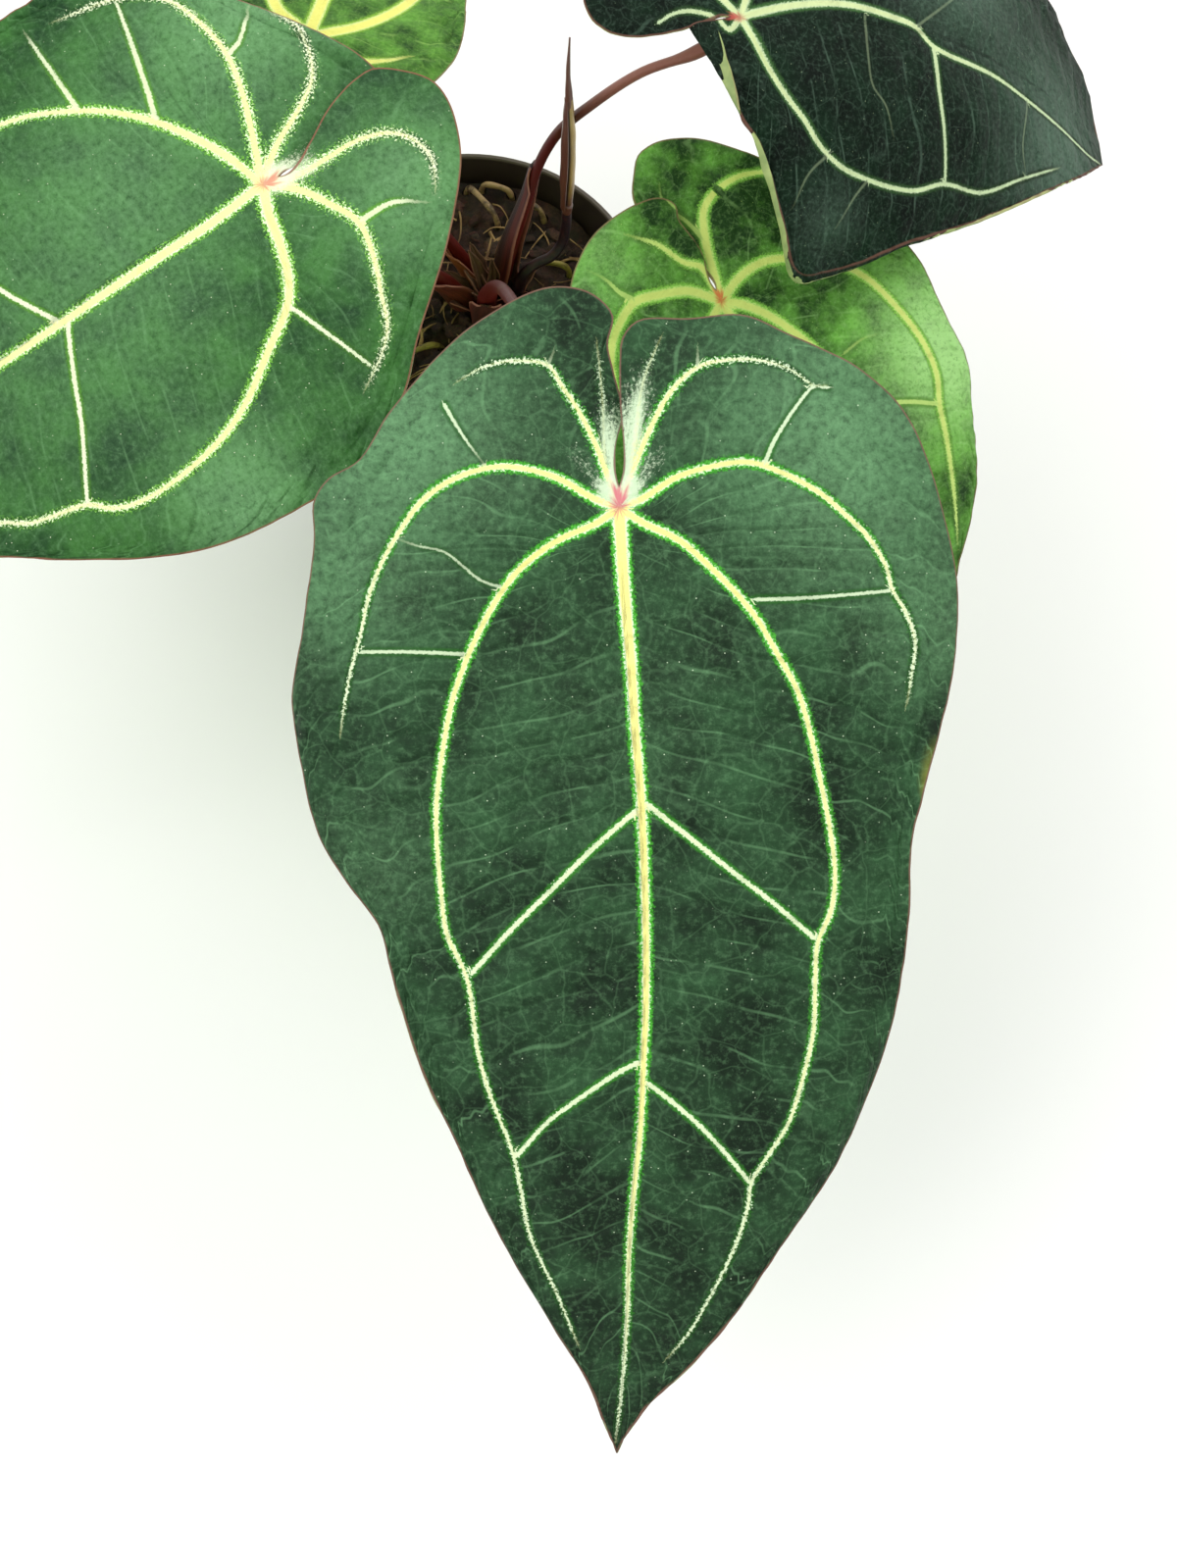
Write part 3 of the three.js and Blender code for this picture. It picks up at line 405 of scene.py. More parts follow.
            ((1, 0.8, 0.4), 0.8, 0.25, [(27.6, -20.6), (27.7, -32.6), (32.5, -41.8)]),
            ((0.9, 0.8, 0.5), 0.8, 0.25, [(-35.2, 19.9), (-60.8, 15.6), (-80.7, 13.4)]),
            ((0.9, 0.7, 0.4), 0.8, 0.25, [(-53, 39.9), (-73, 42), (-87.9, 43.7)]),
            ((0.8, 0.7, 0.4), 0.8, 0.25, [(-44.4, -9.5), (-50.6, -17.7), (-58.5, -23)]),
            ((0.9, 0.8, 0.8), 1, 0.5, [(5.6, 146), (14, 152), (26, 160), (38, 164)]),
            ((0.9, 0.8, 0.8), 1, 0.5, [(5.4, 150), (-8, 158), (-22, 166), (-36, 168)]),
        ],
    },
    "right": {
        "at": (81.7, 2.2, 250), "heading": 9.5, "slope": 14, "droop": 50, "roll": -4, "keel": (-4, 4),
        "cup": (36, 10),
        "lobeRise": 0, "length": 160, "right": blunt, "left": folded, "lobes": (1, 1), "step": -2,
        "sway": 0,
        "wave": 1, "waves": 3, "puff": 2.4, "rows": (80, 110), "bands": (18, 10, 6, 16), "seed": 19,
        "stout": 0.72, "mainVeins": 2, "plume": [(0, 180, 6, 0.5)],
        "fold": {"from": (-2, -25), "way": (0.477, 0.878), "less": 0.3, "beyond": 46, "radius": 3},
        "patches": [(66, 120, 46, 0.9), (-90, 45, 20, 0.3), (-20, 205, 50, 0.7)],
        "stalk": [(12, 15.2, 97), (15.5, 18.4, 113.5), (20.5, 23, 129.5), (25.5, 27.4, 147),
                  (31, 28.6, 160), (42, 22, 184.4), (56, 12, 213), (70, 2.5, 234.4), (78, 1, 244)],
        "veins": [
            ((1.7, 1.4, 1.2, 0.9, 0.6, 0.4), 1, 1, [(0, 0), (2.6, 8.6), (7.5, 28.1), (11.1, 53.4),
             (9.7, 79.8), (7.5, 93.7), (-0.6, 102.8), (-3.7, 144), (-7.2, 170.7), (-8.9, 202.1),
             (-7.8, 237), (-1.5, 262.1)]),
            ((1.5, 1.2, 1, 0.9, 0.7, 0.4), 1, 1, [(0, 0), (-8.9, 3.9), (-22.9, 10), (-35.8, 18.5),
             (-46.2, 27.9), (-56.4, 36.2), (-65.3, 49.7), (-69.5, 67.8), (-70.7, 82.1), (-69.7, 96.5),
             (-63.6, 112.8), (-61.7, 139.9), (-46.8, 169.4), (-30, 202)]),
            ((0.9, 0.7, 0.6), 0.9, 0.8, [(0, 102.4), (-22.9, 103.3), (-39.7, 107.3), (-63.3, 114.1)]),
            ((1.3, 1.1, 0.9, 0.6), 0.9, 1, [(0, 0), (-6.3, -6.5), (1.8, -14.1), (4.3, -21.5), (3, -29.6),
             (-2.3, -38.3)]),
            ((0.5, 0.4, 0.3), 0.15, 0.25, [(7, 64), (-13.8, 62.1), (-27.5, 63.5), (-35.5, 70.8),
             (-48, 76.2)]),
            ((0.5, 0.4, 0.3), 0.15, 0.25, [(7.9, 94), (32.4, 123.2), (50, 140)]),
            ((0.5, 0.4, 0.3), 0.15, 0.25, [(-7.2, 169.5), (-31.5, 165.8), (-44, 172.1)]),
            ((0.5, 0.4, 0.3), 0.15, 0.25, [(-68.9, 66), (-77.9, 58), (-92, 50)]),
            ((0.5, 0.4, 0.3), 0.15, 0.25, [(-60, 42), (-70, 30), (-84, 24)]),
            ((1.5, 1.2, 1, 0.5), 0.9, 1, [(0, 0), (14, 6), (34, 14), (52, 30), (64, 56), (66, 90),
             (58, 124)]),
            ((1.4, 1.1, 0.8, 0.4), 0.9, 1, [(0, 0), (10, -8), (26, -18), (46, -18), (66, -6), (80, 14)]),
        ],
    },
    "young": {
        "at": (78.7, -50.7, 192), "heading": -62, "slope": 20, "droop": 30, "roll": 0, "keel": (6, 6),
        "cup": (20, 20),
        "lobeRise": 0, "length": 172, "right": full, "left": roundLeft, "lobes": (0.92, 1.21), "step": -1.6,
        "sway": -12, "wave": 1, "waves": 2.4, "puff": 1.8, "rows": (74, 100), "bands": (16, 11, 6, 12),
        "seed": 27, "stout": 0.85, "mainVeins": 7, "plume": [(-14, 10, 28, 0.6), (8, 8, 16, 0.4)],
        # the patch below nought at (32, -34) is painted shade, where the right leaf's blade shades this one,
        # and the one at (90, 60) paints the lit far side paler
        "patches": [(32, -34, 30, -1.2), (20, 10, 26, -0.2), (90, 60, 34, 1.2), (-44, -36, 22, 0.3)],
        "stalk": [(15, 1, 97), (20, -5, 114), (30, -18, 136), (50, -35, 164), (68, -46, 180)],
        "veins": [
            ((2, 1.6, 1.3, 1, 0.4), 1, 1, midrib[:7] + [(0, 262)]),
            ((1.7, 1.4, 1.3, 1.2, 1, 0.5), 1, 1, [(0, 0), (6, 4), (14, 12), (22, 24), (29, 38), (33, 56),
             (34, 76), (32, 98), (27, 122), (20, 150)]),
            ((1.6, 1.5, 1.3, 1.2, 1.1, 1, 0.8, 0.3), 1, 1, [(0, 0), (8, -4.6), (17, -7.4), (25.1, -7.6),
             (34, -5), (47, 1.5), (58, 9.6), (65.9, 19.6), (73, 36.2), (77.9, 53.8), (78.4, 69.5),
             (74.2, 83.3), (71.4, 97.7), (67.3, 115.3), (62.8, 132.8), (59.4, 144.9)]),
            ((1.7, 1.6, 1.3, 0.9), 0.9, 1, [(0, 0), (0.9, -5.4), (3.3, -16.4), (5.9, -27.4), (11, -39.7),
             (19.5, -44.9), (31.7, -46.6), (44.1, -44.2)]),
            ((1.6, 1.4, 1.2, 0.6), 1, 1, mirrored(longLeft["inner"][:9])),
            ((1.7, 1.6, 1.4, 1.1), 1, 1, [(0, 0), (-11.5, -9.8), (-24.8, -13.8), (-36.6, -15.4),
             (-47.2, -9.5), (-54.3, -1.9), (-60, 12), (-62, 30)]),
            ((1.5, 1.2, 0.9, 0.4), 0.9, 1, [(0, 0), (-2.3, -16.8), (-9.2, -22.1), (-16.2, -33.7),
             (-26.9, -42.7)]),
            ((0.6, 0.6, 0.6), 0.8, 0.25, [(51, 71.7), (62.4, 76.2), (73.7, 82)]),
            ((0.4, 0.3), 0.35, 0.25, [(40.3, 43.4), (51.8, 41.2), (58.2, 42.1)]),
            ((0.8, 0.5, 0.3), 0.6, 0.25, [(-36, -15.6), (-41.1, -21.8), (-43.7, -29.1), (-48.1, -34.9)]),
            ((0.8, 0.5, 0.3), 0.5, 0.25, [(5.9, -27.4), (2, -38), (-4, -50), (-2, -58)]),
        ],
    },
    "back": {
        "at": (-42, 34, 200), "heading": 74, "slope": 12, "droop": 26, "roll": 0, "keel": (5, 5),
        "cup": (20, 20),
        "lobeRise": 0, "length": 125, "right": longLeft, "left": longRight, "lobes": (1.1, 1), "step": 1,
        "sway": 0,
        "wave": 0.8, "waves": 2.4, "puff": 1.2, "rows": (56, 84), "bands": (14, 9, 5, 9), "seed": 31,
        "stout": 1.15, "mainVeins": 7, "plume": [(0, 14, 16, 0.4)],
        "patches": [(64, -14, 22, 0.7), (26, 40, 22, -0.8), (70, 60, 24, 0.5), (50, 20, 14, -0.6)],
        "stalk": [(4, 16, 97), (-3, 18.6, 110), (-17, 25, 140), (-30, 30, 172), (-37, 33, 189)],
        "veins": [
            ((1.9, 1.7, 1.4, 1, 0.4), 1, 1, midrib[:7] + [(0, 262)]),
            ((1.7, 1.6, 1.4, 1, 0.4), 1, 1, longLeft["inner"][:10]),
            ((1.5, 1.2, 0.8, 0.4), 1, 1, longLeft["outer"][:5] + [(64, 26)]),
            ((1.3, 1, 0.5), 1, 1, longLeft["lobe"][:1] + longLeft["lobe"][2:7]),
            ((1.7, 1.6, 1.4, 1, 0.4), 1, 1, mirrored(longRight["inner"][:10])),
            ((1.5, 1.2, 0.8, 0.4), 1, 1, mirrored(longRight["outer"][:6])),
            ((1.3, 1, 0.5), 1, 1, mirrored(longRight["lobe"][:6])),
        ],
    },
}


def pointsAt(points, stations):
    # by length up to the level line (stations to 0.5), then by equal height to the tip
    line = smoothLine(points)
    s = lengthsAlong(line)
    level = plant["levelY"]
    below = np.where(line[:, 1] < level - 1e-6)[0].max()
    nextOne = min(below + 1, len(line) - 1)
    part = (level - line[below, 1]) / max(line[nextOne, 1] - line[below, 1], 1e-6)
    sLevel = s[below] + min(part, 1) * (s[nextOne] - s[below])
    heights = np.maximum.accumulate(np.r_[level, line[below + 1:, 1]])
    reach = np.r_[sLevel, s[below + 1:]]
    rise = level + (plant["drawnLength"] - level) * (stations - 0.5) / 0.5
    along = np.where(stations <= 0.5, sLevel * stations / 0.5, np.interp(rise, heights, reach))
    return np.stack([np.interp(along, s, line[:, 0]), np.interp(along, s, line[:, 1])], axis=1)


def halfLines(half, stations, under):
    # the lines of a half at each station, from the midrib to the margin
    middle, inner, margin = (pointsAt(p, stations) for p in (midrib, half["inner"], half["margin"]))
    if under:
        sinus = plant["sinusY"] - margin[:, 1]
        margin[:, 0] = np.where(sinus > 0, np.maximum(margin[:, 0], np.minimum(1, 0.3 * sinus)), margin[:, 0])

    def widthAtLevel(points):
        line = smoothLine(points)
        return line[(line[:, 1] >= plant["levelY"] - 0.01) & (line[:, 0] > 15)][0, 0]

    def shared(vein):
        first, last = widthAtLevel(half["inner"]), widthAtLevel(half["margin"])
        s = (widthAtLevel(half[vein]) - first) / (last - first)
        above = inner * (1 - s) + margin * s
        return np.where((stations <= 0.5)[:, None], pointsAt(half[vein], stations), above)

    return [middle, inner, shared("outer"), shared("lobe"), margin]


def turnedArc(angle, turn, d):
    # how far forward and down a line goes that starts at an angle and turns evenly
    turn = np.where(np.abs(turn) < 1e-9, 1e-9, turn)
    end = angle + turn * d
    return (np.sin(end) - np.sin(angle)) / turn, (np.cos(angle) - np.cos(end)) / turn, end


def placeOnBlade(leaf, x, y, h):
    # the place in space, in mm, of points of the flat blade; h is the height above it
    head, slope, roll = (math.radians(leaf[k]) for k in ("heading", "slope", "roll"))
    bend = np.where(y >= 0, math.radians(leaf["droop"]) / leaf["length"],
                    math.radians(leaf["lobeRise"]) / (0.24 * leaf["length"]))
    out, down, angle = turnedArc(slope, bend, y)
    ahead = np.array([math.cos(head), math.sin(head), 0])
    up = np.array([0, 0, 1])
    across0 = np.cross(up, ahead)
    normal0 = np.sin(angle)[:, None] * ahead + np.cos(angle)[:, None] * up
    across = across0 * math.cos(roll) - normal0 * math.sin(roll)
    normal = normal0 * math.cos(roll) + across0 * math.sin(roll)
    halfWidth = plant["drawnHalfWidth"] * leaf["length"] / plant["drawnLength"]
    side = np.where(x < 0, -1, 1)
    keel = np.radians(np.where(x < 0, leaf["keel"][0], leaf["keel"][1]))
    cup = np.radians(np.where(x < 0, leaf["cup"][0], leaf["cup"][1]))
    wide, rise, tilt = turnedArc(keel, -cup / halfWidth, np.abs(x))
    tilt = np.where(x == 0, 0, tilt)
    place = np.array(leaf["at"]) + out[:, None] * ahead - down[:, None] * up
    place = place + across * (side * wide)[:, None] + normal * rise[:, None]
    return place + normal * (h * np.cos(tilt))[:, None] - across * (side * h * np.sin(tilt))[:, None]


def hubSize(leaf):
    return plant["hubRadius"] * (leaf["length"] / plant["drawnLength"]) ** 0.4


# how the meshes of the blades are made; lengths in mm
bladeMesh = {
    # how close to a vein a face is made finer, on a main vein only one larger than this in square metres
    "besideThin": 0.9, "besideMain": 0.8, "largeFace": 2e-6,
    # how near a vein counts, and how its free end fades
    "veinReach": 40, "fadeOver": 7, "leastShown": 0.15,
    # the grooves, then the unevenness as its height and wave length, how far from a vein it is in full, and
    # the band in which the rows begin
    "groove": 0.35, "grooveWidth": 1.6, "grooveHalf": 1.5, "broad": (0.38, 30), "fine": (0.16, 10),
    "rows": (0.14, 8), "broadOver": 7, "fineOver": 4, "rowsFrom": 0.6,
    # the pattern of the side veins: along to level with the joint and on to the tip, drawn back by the bands,
    # and across them
    "lowWay": 140, "highWay": 506, "innerBack": 15, "outerBack": 5, "columnWay": 22, "otherHalf": 150,
    # the width of a band that is puffed in full, the share of the length in which a wave begins, the way over
    # which the lobes part, how much a plume narrows, and in which share of its reach it fades
    "puffedWidth": 18, "waveBegins": 1 / 6, "stepOver": 16, "plumeNarrows": 0.55, "plumeFades": 0.6}


def nearestVein(x, y, leaf, first=0):
    # for each point: mm to the edge of the nearest vein, its half width, how pale and feathery it is, and the
    # distance to its middle, less than nought on its left
    scale = leaf["length"] / plant["drawnLength"]
    gap = np.full(len(x), 1e6)
    kept = np.zeros((4, len(x)))
    for widths, pale, feather, points in leaf["veins"][first:]:
        line = smoothLine(points, 6) if len(points) > 2 else np.array(points, float)
        s = lengthsAlong(line)
        half = np.interp(s / s[-1], np.linspace(0, 1, len(widths)), widths) * leaf["stout"]
        if feather < 1:
            half = half * plant["crossVeins"]
        for i in range(len(line) - 1):
            a, d = line[i], line[i + 1] - line[i]
            near = np.where(np.maximum(np.abs(x - a[0]), np.abs(y - a[1])) < bladeMesh["veinReach"])[0]
            t = np.clip(((x[near] - a[0]) * d[0] + (y[near] - a[1]) * d[1]) / max(d @ d, 1e-9), 0, 1)
            w = half[i] + (half[i + 1] - half[i]) * t
            away = np.hypot(x[near] - a[0] - t * d[0], y[near] - a[1] - t * d[1]) * scale
            better = away - w < gap[near]
            near, t, w, away = near[better], t[better], w[better], away[better]
            gap[near] = away - w
            left = d[0] * (y[near] - a[1]) - d[1] * (x[near] - a[0]) > 0
            # a free end fades out
            rest = (s[-1] - s[i] - t * (s[i + 1] - s[i])) * scale
            fading = np.clip(rest / bladeMesh["fadeOver"], bladeMesh["leastShown"], 1)
            shown = fading if widths[-1] < 0.5 else np.ones(len(w))
            kept[:, near] = w, pale * shown, np.full(len(w), feather), away * np.where(left, -1, 1)
    return gap, *kept


def distanceTo(x, y, line):
    best = np.full(len(x), 1e6)
    for a, b in zip(line[:-1], line[1:]):
        d = b - a
        t = np.clip(((x - a[0]) * d[0] + (y - a[1]) * d[1]) / max(d @ d, 1e-9), 0, 1)
        best = np.minimum(best, np.hypot(x - a[0] - t * d[0], y - a[1] - t * d[1]))
    return best


def bandShares(count):
    # closer together beside the veins
    t = np.linspace(0, 1, count, endpoint=False)
    return 0.55 * t + 0.45 * (0.5 - 0.5 * np.cos(math.pi * t))


def refineNear(mesh, leaf):
    # smaller faces where a thin vein crosses the mesh, and where large ones lie on a main vein
    x, y = keptValue(mesh, "flatX"), keptValue(mesh, "flatY")
    thin, main = nearestVein(x, y, leaf, leaf["mainVeins"])[0], nearestVein(x, y, leaf)[0]
    picked = []
    for polygon in mesh.polygons:
        besideThin = min(thin[v] for v in polygon.vertices) < bladeMesh["besideThin"]
        besideMain = min(main[v] for v in polygon.vertices) < bladeMesh["besideMain"]
        picked.append(bool(besideThin or besideMain and polygon.area > bladeMesh["largeFace"]))
    editMode("DESELECT", "FACE")
    objectMode()
    mesh.polygons.foreach_set("select", picked)
    bpy.ops.object.mode_set(mode="EDIT")
    bpy.ops.mesh.subdivide(number_cuts=2, ngon=False)
    bpy.ops.mesh.select_mode(type="VERT")
    objectMode()


def bladeHalves(leaf):
    # each half outline, its side and how long its lobe is
    return (leaf["left"], -1, leaf["lobes"][0]), (leaf["right"], 1, leaf["lobes"][1])


def lobeLong(y, lobe):
    sinus = plant["sinusY"]
    return np.where(y < sinus, sinus + (y - sinus) * lobe, y)


def flatBlade(leaf, u, stations, row, column, columns):
    # the points of the flat blade, and how high the puffed bands, the waves and the parted lobes lift them
    look, scale = bladeMesh, leaf["length"] / plant["drawnLength"]
    x, y, h = (np.zeros(len(u)) for i in range(3))
    for half, sign, lobe in bladeHalves(leaf):
        lines = halfLines(half, stations, half is broad and sign < 0 < leaf["step"])
        for k, (line, share) in enumerate(columns):
            if sign < 0 and k == 0:
                continue
            here = column == len(columns) - 1 + sign * k
            a, b = lines[line][row[here]], lines[min(line + 1, 4)][row[here]]
            across = a * (1 - share) + b * share
            # the midrib's own bend isn't mirrored
            x[here] = across[:, 0] * sign if line or sign > 0 else a[:, 0] * (1 - share) - b[:, 0] * share
            arch = np.sin(np.pi * np.minimum(1, u[here] * 1.1))
            puff = leaf["puff"] * math.sin(math.pi * share) * scale * arch
            h[here] = puff * np.minimum(1, np.hypot(*(b - a).T) / look["puffedWidth"])
            if line == 3:
                ripple = np.sin(2 * np.pi * leaf["waves"] * u[here] + sign)
                begun = eased(u[here] / look["waveBegins"]) * eased((1 - u[here]) / look["waveBegins"])
                h[here] += leaf["wave"] * share * ripple * begun
            y[here] = lobeLong(across[:, 1], lobe)
            h[here] += sign * leaf["step"] * eased((plant["sinusY"] - y[here]) / look["stepOver"])
    return x, y, h


def foldBack(fold, x, y, h, leftSide, scale):
    # rolls the outer part of the left half back over itself
    wayX, wayY = fold["way"]
    over = wayX * (fold["from"][0] - x) - wayY * (y - fold["from"][1])
    over = over - fold["less"] * np.maximum(0, -x - fold["beyond"])
    over = np.where(leftSide, np.maximum(over, 0), 0)
    radius = fold["radius"]
    turn = np.minimum(over / radius, math.pi)
    back = radius * np.sin(turn) - np.maximum(0, over - radius * math.pi) - over
    return x - wayX * back, y - wayY * back, h * np.cos(turn) + radius * (1 - np.cos(turn)) * scale


def keepLooks(mesh, leaf):
    # what the blade's material reads at each vertex, and the flat blade as its UV map
    scale = leaf["length"] / plant["drawnLength"]
    x, y = keptValue(mesh, "flatX"), keptValue(mesh, "flatY")
    onLeft = keptValue(mesh, "onLeft") > 0.5
    gap, half, pale, feather, away = nearestVein(x, y, leaf)
    # painted light: the patches add up to one field of painted sheen and shade together with the blade's own
    # tone
    toneAndPaintedLight = np.zeros(len(x))
    for px, py, wide, amount in leaf["patches"]:
        toneAndPaintedLight += amount * np.exp(-((x - px) ** 2 + (y - py) ** 2) / wide ** 2)
    reach, heading = np.hypot(x, y), np.degrees(np.arctan2(x, -y))
    plume = np.zeros(len(x))
    for middle, wide, far, amount in leaf["plume"]:
        narrow = wide * (1 - bladeMesh["plumeNarrows"] * np.clip(reach / far, 0, 1))
        fade = eased((far - reach) / (bladeMesh["plumeFades"] * far))
        plume += amount * np.exp(-((heading - middle) / narrow) ** 2) * fade
    aged = np.zeros(len(x))
    if "aged" in leaf:
        px, py, wide, tall = leaf["aged"]
        aged = np.exp(-((x - px) / wide) ** 2 - ((y - py) / tall) ** 2)
    margins = []
    for outline, sign, lobe in bladeHalves(leaf):
        line = smoothLine(outline["margin"], 6) * np.array([sign, 1])
        line[:, 1] = lobeLong(line[:, 1], lobe)
        margins.append(np.where(onLeft == (sign < 0), distanceTo(x, y, line), 1e6))
    looks = {"veinGap": gap, "veinHalf": half, "veinPale": pale, "veinFeather": feather, "veinAway": away,
             "edgeGap": np.minimum(*margins) * scale, "toneAndPaintedLight": toneAndPaintedLight, "aged": aged, "plume": plume,
             "reach": reach * scale, "ray": np.arctan2(x, y), "jointAway": np.hypot(x * 1.5, (y + 2.5) * 0.8)}
    for attribute, values in looks.items():
        keepValue(mesh, attribute, values)
    uv = mesh.uv_layers[0]
    uv.name = "flat"
    corner = np.empty(len(mesh.loops), dtype=np.int32)
    mesh.loops.foreach_get("vertex_index", corner)
    uv.data.foreach_set("uv", np.stack([x[corner], y[corner]], axis=1).astype(np.float32).ravel() * 0.01)


def makeBlade(name, leaf):
    scale = leaf["length"] / plant["drawnLength"]
    low, high = leaf["rows"]
    stations = np.r_[np.linspace(0, 0.5, low, endpoint=False), np.linspace(0.5, 1, high + 1)]
    columns = [(line, share) for line, count in enumerate(leaf["bands"]) for share in bandShares(count)]
    columns.append((3, 1.0))
    n = len(columns) - 1
    deselectAll()
    bpy.ops.mesh.primitive_grid_add(x_subdivisions=2 * n, y_subdivisions=low + high, size=2,
                                    location=(0, 0, 0))
    piece = bpy.context.object
    mesh = piece.data
    grid = meshNumbers(mesh)
    column = np.rint((grid[:, 0] + 1) / 2 * (2 * n)).astype(int)
    row = np.rint((grid[:, 1] + 1) / 2 * (low + high)).astype(int)
    u = stations[row]
    x, y, h = flatBlade(leaf, u, stations, row, column, columns)
    leftSide = column < n
    share = np.array([line + part for line, part in columns])[np.abs(column - n)]
    look, seed = bladeMesh, leaf["seed"]
    rowWay = look["lowWay"] * np.minimum(u, 0.5) + look["highWay"] * np.maximum(u - 0.5, 0)
    rowWay -= look["innerBack"] * np.minimum(share, 1) + look["outerBack"] * np.maximum(share - 1, 0)
    columnWay = look["columnWay"] * share * scale + look["otherHalf"] * leftSide
    for attribute, values in (("rowWay", rowWay * scale), ("columnWay", columnWay), ("flatX", x),
                              ("flatY", y), ("onLeft", leftSide)):
        keepValue(mesh, attribute, values)
    gap, half = nearestVein(x, y, leaf)[:2]
    # relief: a shallow groove with the vein low in it, fine unevenness between the veins
    groove = np.exp(-(np.maximum(gap, 0) / look["grooveWidth"]) ** 2)
    h -= look["groove"] * groove * np.minimum(half / look["grooveHalf"], 1)
    (broadly, broadWave), (finely, fineWave), (rowHigh, rowWave) = look["broad"], look["fine"], look["rows"]
    besideVein = eased(gap / look["fineOver"])
    h += broadly * ripples(x, y, seed, broadWave) * eased(gap / look["broadOver"])
    h += finely * ripples(x, y, seed + 1, fineWave) * besideVein
    rows = rowHigh * ripples(rowWay, share * 4, seed + 2, rowWave)
    h += rows * besideVein * eased(share - look["rowsFrom"])
    x = x + leaf["sway"] * (np.maximum(y, 0) / plant["drawnLength"]) ** 2
    if "fold" in leaf:
        x, y, h = foldBack(leaf["fold"], x, y, h, leftSide, scale)
    moveVertices(mesh, placeOnBlade(leaf, x * scale, y * scale, h) * mm)
    editMode()
    bpy.ops.mesh.remove_doubles(threshold=plant["weld"] * mm)
    bpy.ops.mesh.normals_make_consistent(inside=False)
    objectMode()
    if np.mean([polygon.normal.z for polygon in mesh.polygons]) < 0:
        mesh.flip_normals()
    refineNear(mesh, leaf)
    keepLooks(mesh, leaf)
    for material in leafMaterials(name):
        mesh.materials.append(material)
    applyModifier(piece, "SOLIDIFY", {"thickness": plant["bladeThickness"] * mm, "offset": 0,
                                      "material_offset": 1, "material_offset_rim": 2,
                                      "use_even_offset": False})
    # the boss under the joint
    size = hubSize(leaf)
    centre = placeOnBlade(leaf, np.zeros(1), np.zeros(1), np.array([-size]))[0] * mm
    deselectAll()
    bpy.ops.mesh.primitive_uv_sphere_add(segments=24, ring_count=14, radius=size * mm, location=centre)
    boss = bpy.context.object
    boss.data.materials.append(mesh.materials[1])
    piece = joinPieces([piece, boss])
    smoothByAngle(piece, 60)
    finishPiece(piece, name + "Blade", [name + "_leaf_blade"])
    report(f"{name} blade, {sum(len(p.vertices) - 2 for p in mesh.polygons)} triangles")


# the colours of each blade, and then how strong the net of small veins and the side veins are, how ragged the
# edges of the veins, how silky and how glossy the blade
bladeColours = ("dark", "mid", "pale", "fringe", "flank", "core", "centre", "margin", "under")
leafLooks = {
    "front": ("#0C2210", "#2E5432", "#78AC78", "#48B22C", "#DCF2CC", "#F8F088",
              "#D4687A", "#7A5A4C", "#8FA86A"),
    "left": ("#12361A", "#3A6E30", "#76A872", "#78C23A", "#EAF6D0", "#F4F09C",
             "#D98A70", "#8A5A48", "#9DB470"),
    "right": ("#020C05", "#0B2413", "#627E6A", "#3E6434", "#BCD4A8", "#CFDCA0",
              "#B8544C", "#6A4A3E", "#B9C77B"),
    "young": ("#183A10", "#6CAE42", "#A6D886", "#84C24C", "#C0E07C", "#D2E078",
              "#D4683C", "#7C6A4A", "#A8C070"),
    "back": ("#264C1A", "#66A03C", "#A0CC6A", "#84B63C", "#DEEA94", "#ECE878",
             "#D98A60", "#8A7A5A", "#A4BC6A"),
}
agedYellow = "#8A8A34"
bladeDetail = {"front": (0.1, 0.3, 3.8, 0.04, 0.18), "left": (0.07, 0.22, 7, 0.04, 0.16),
               "right": (0.1, 0.3, 2, 0.01, 0.1), "young": (0.08, 0.22, 3, 0.03, 0.18),
               "back": (0.1, 0.35, 3.4, 0.04, 0.18)}


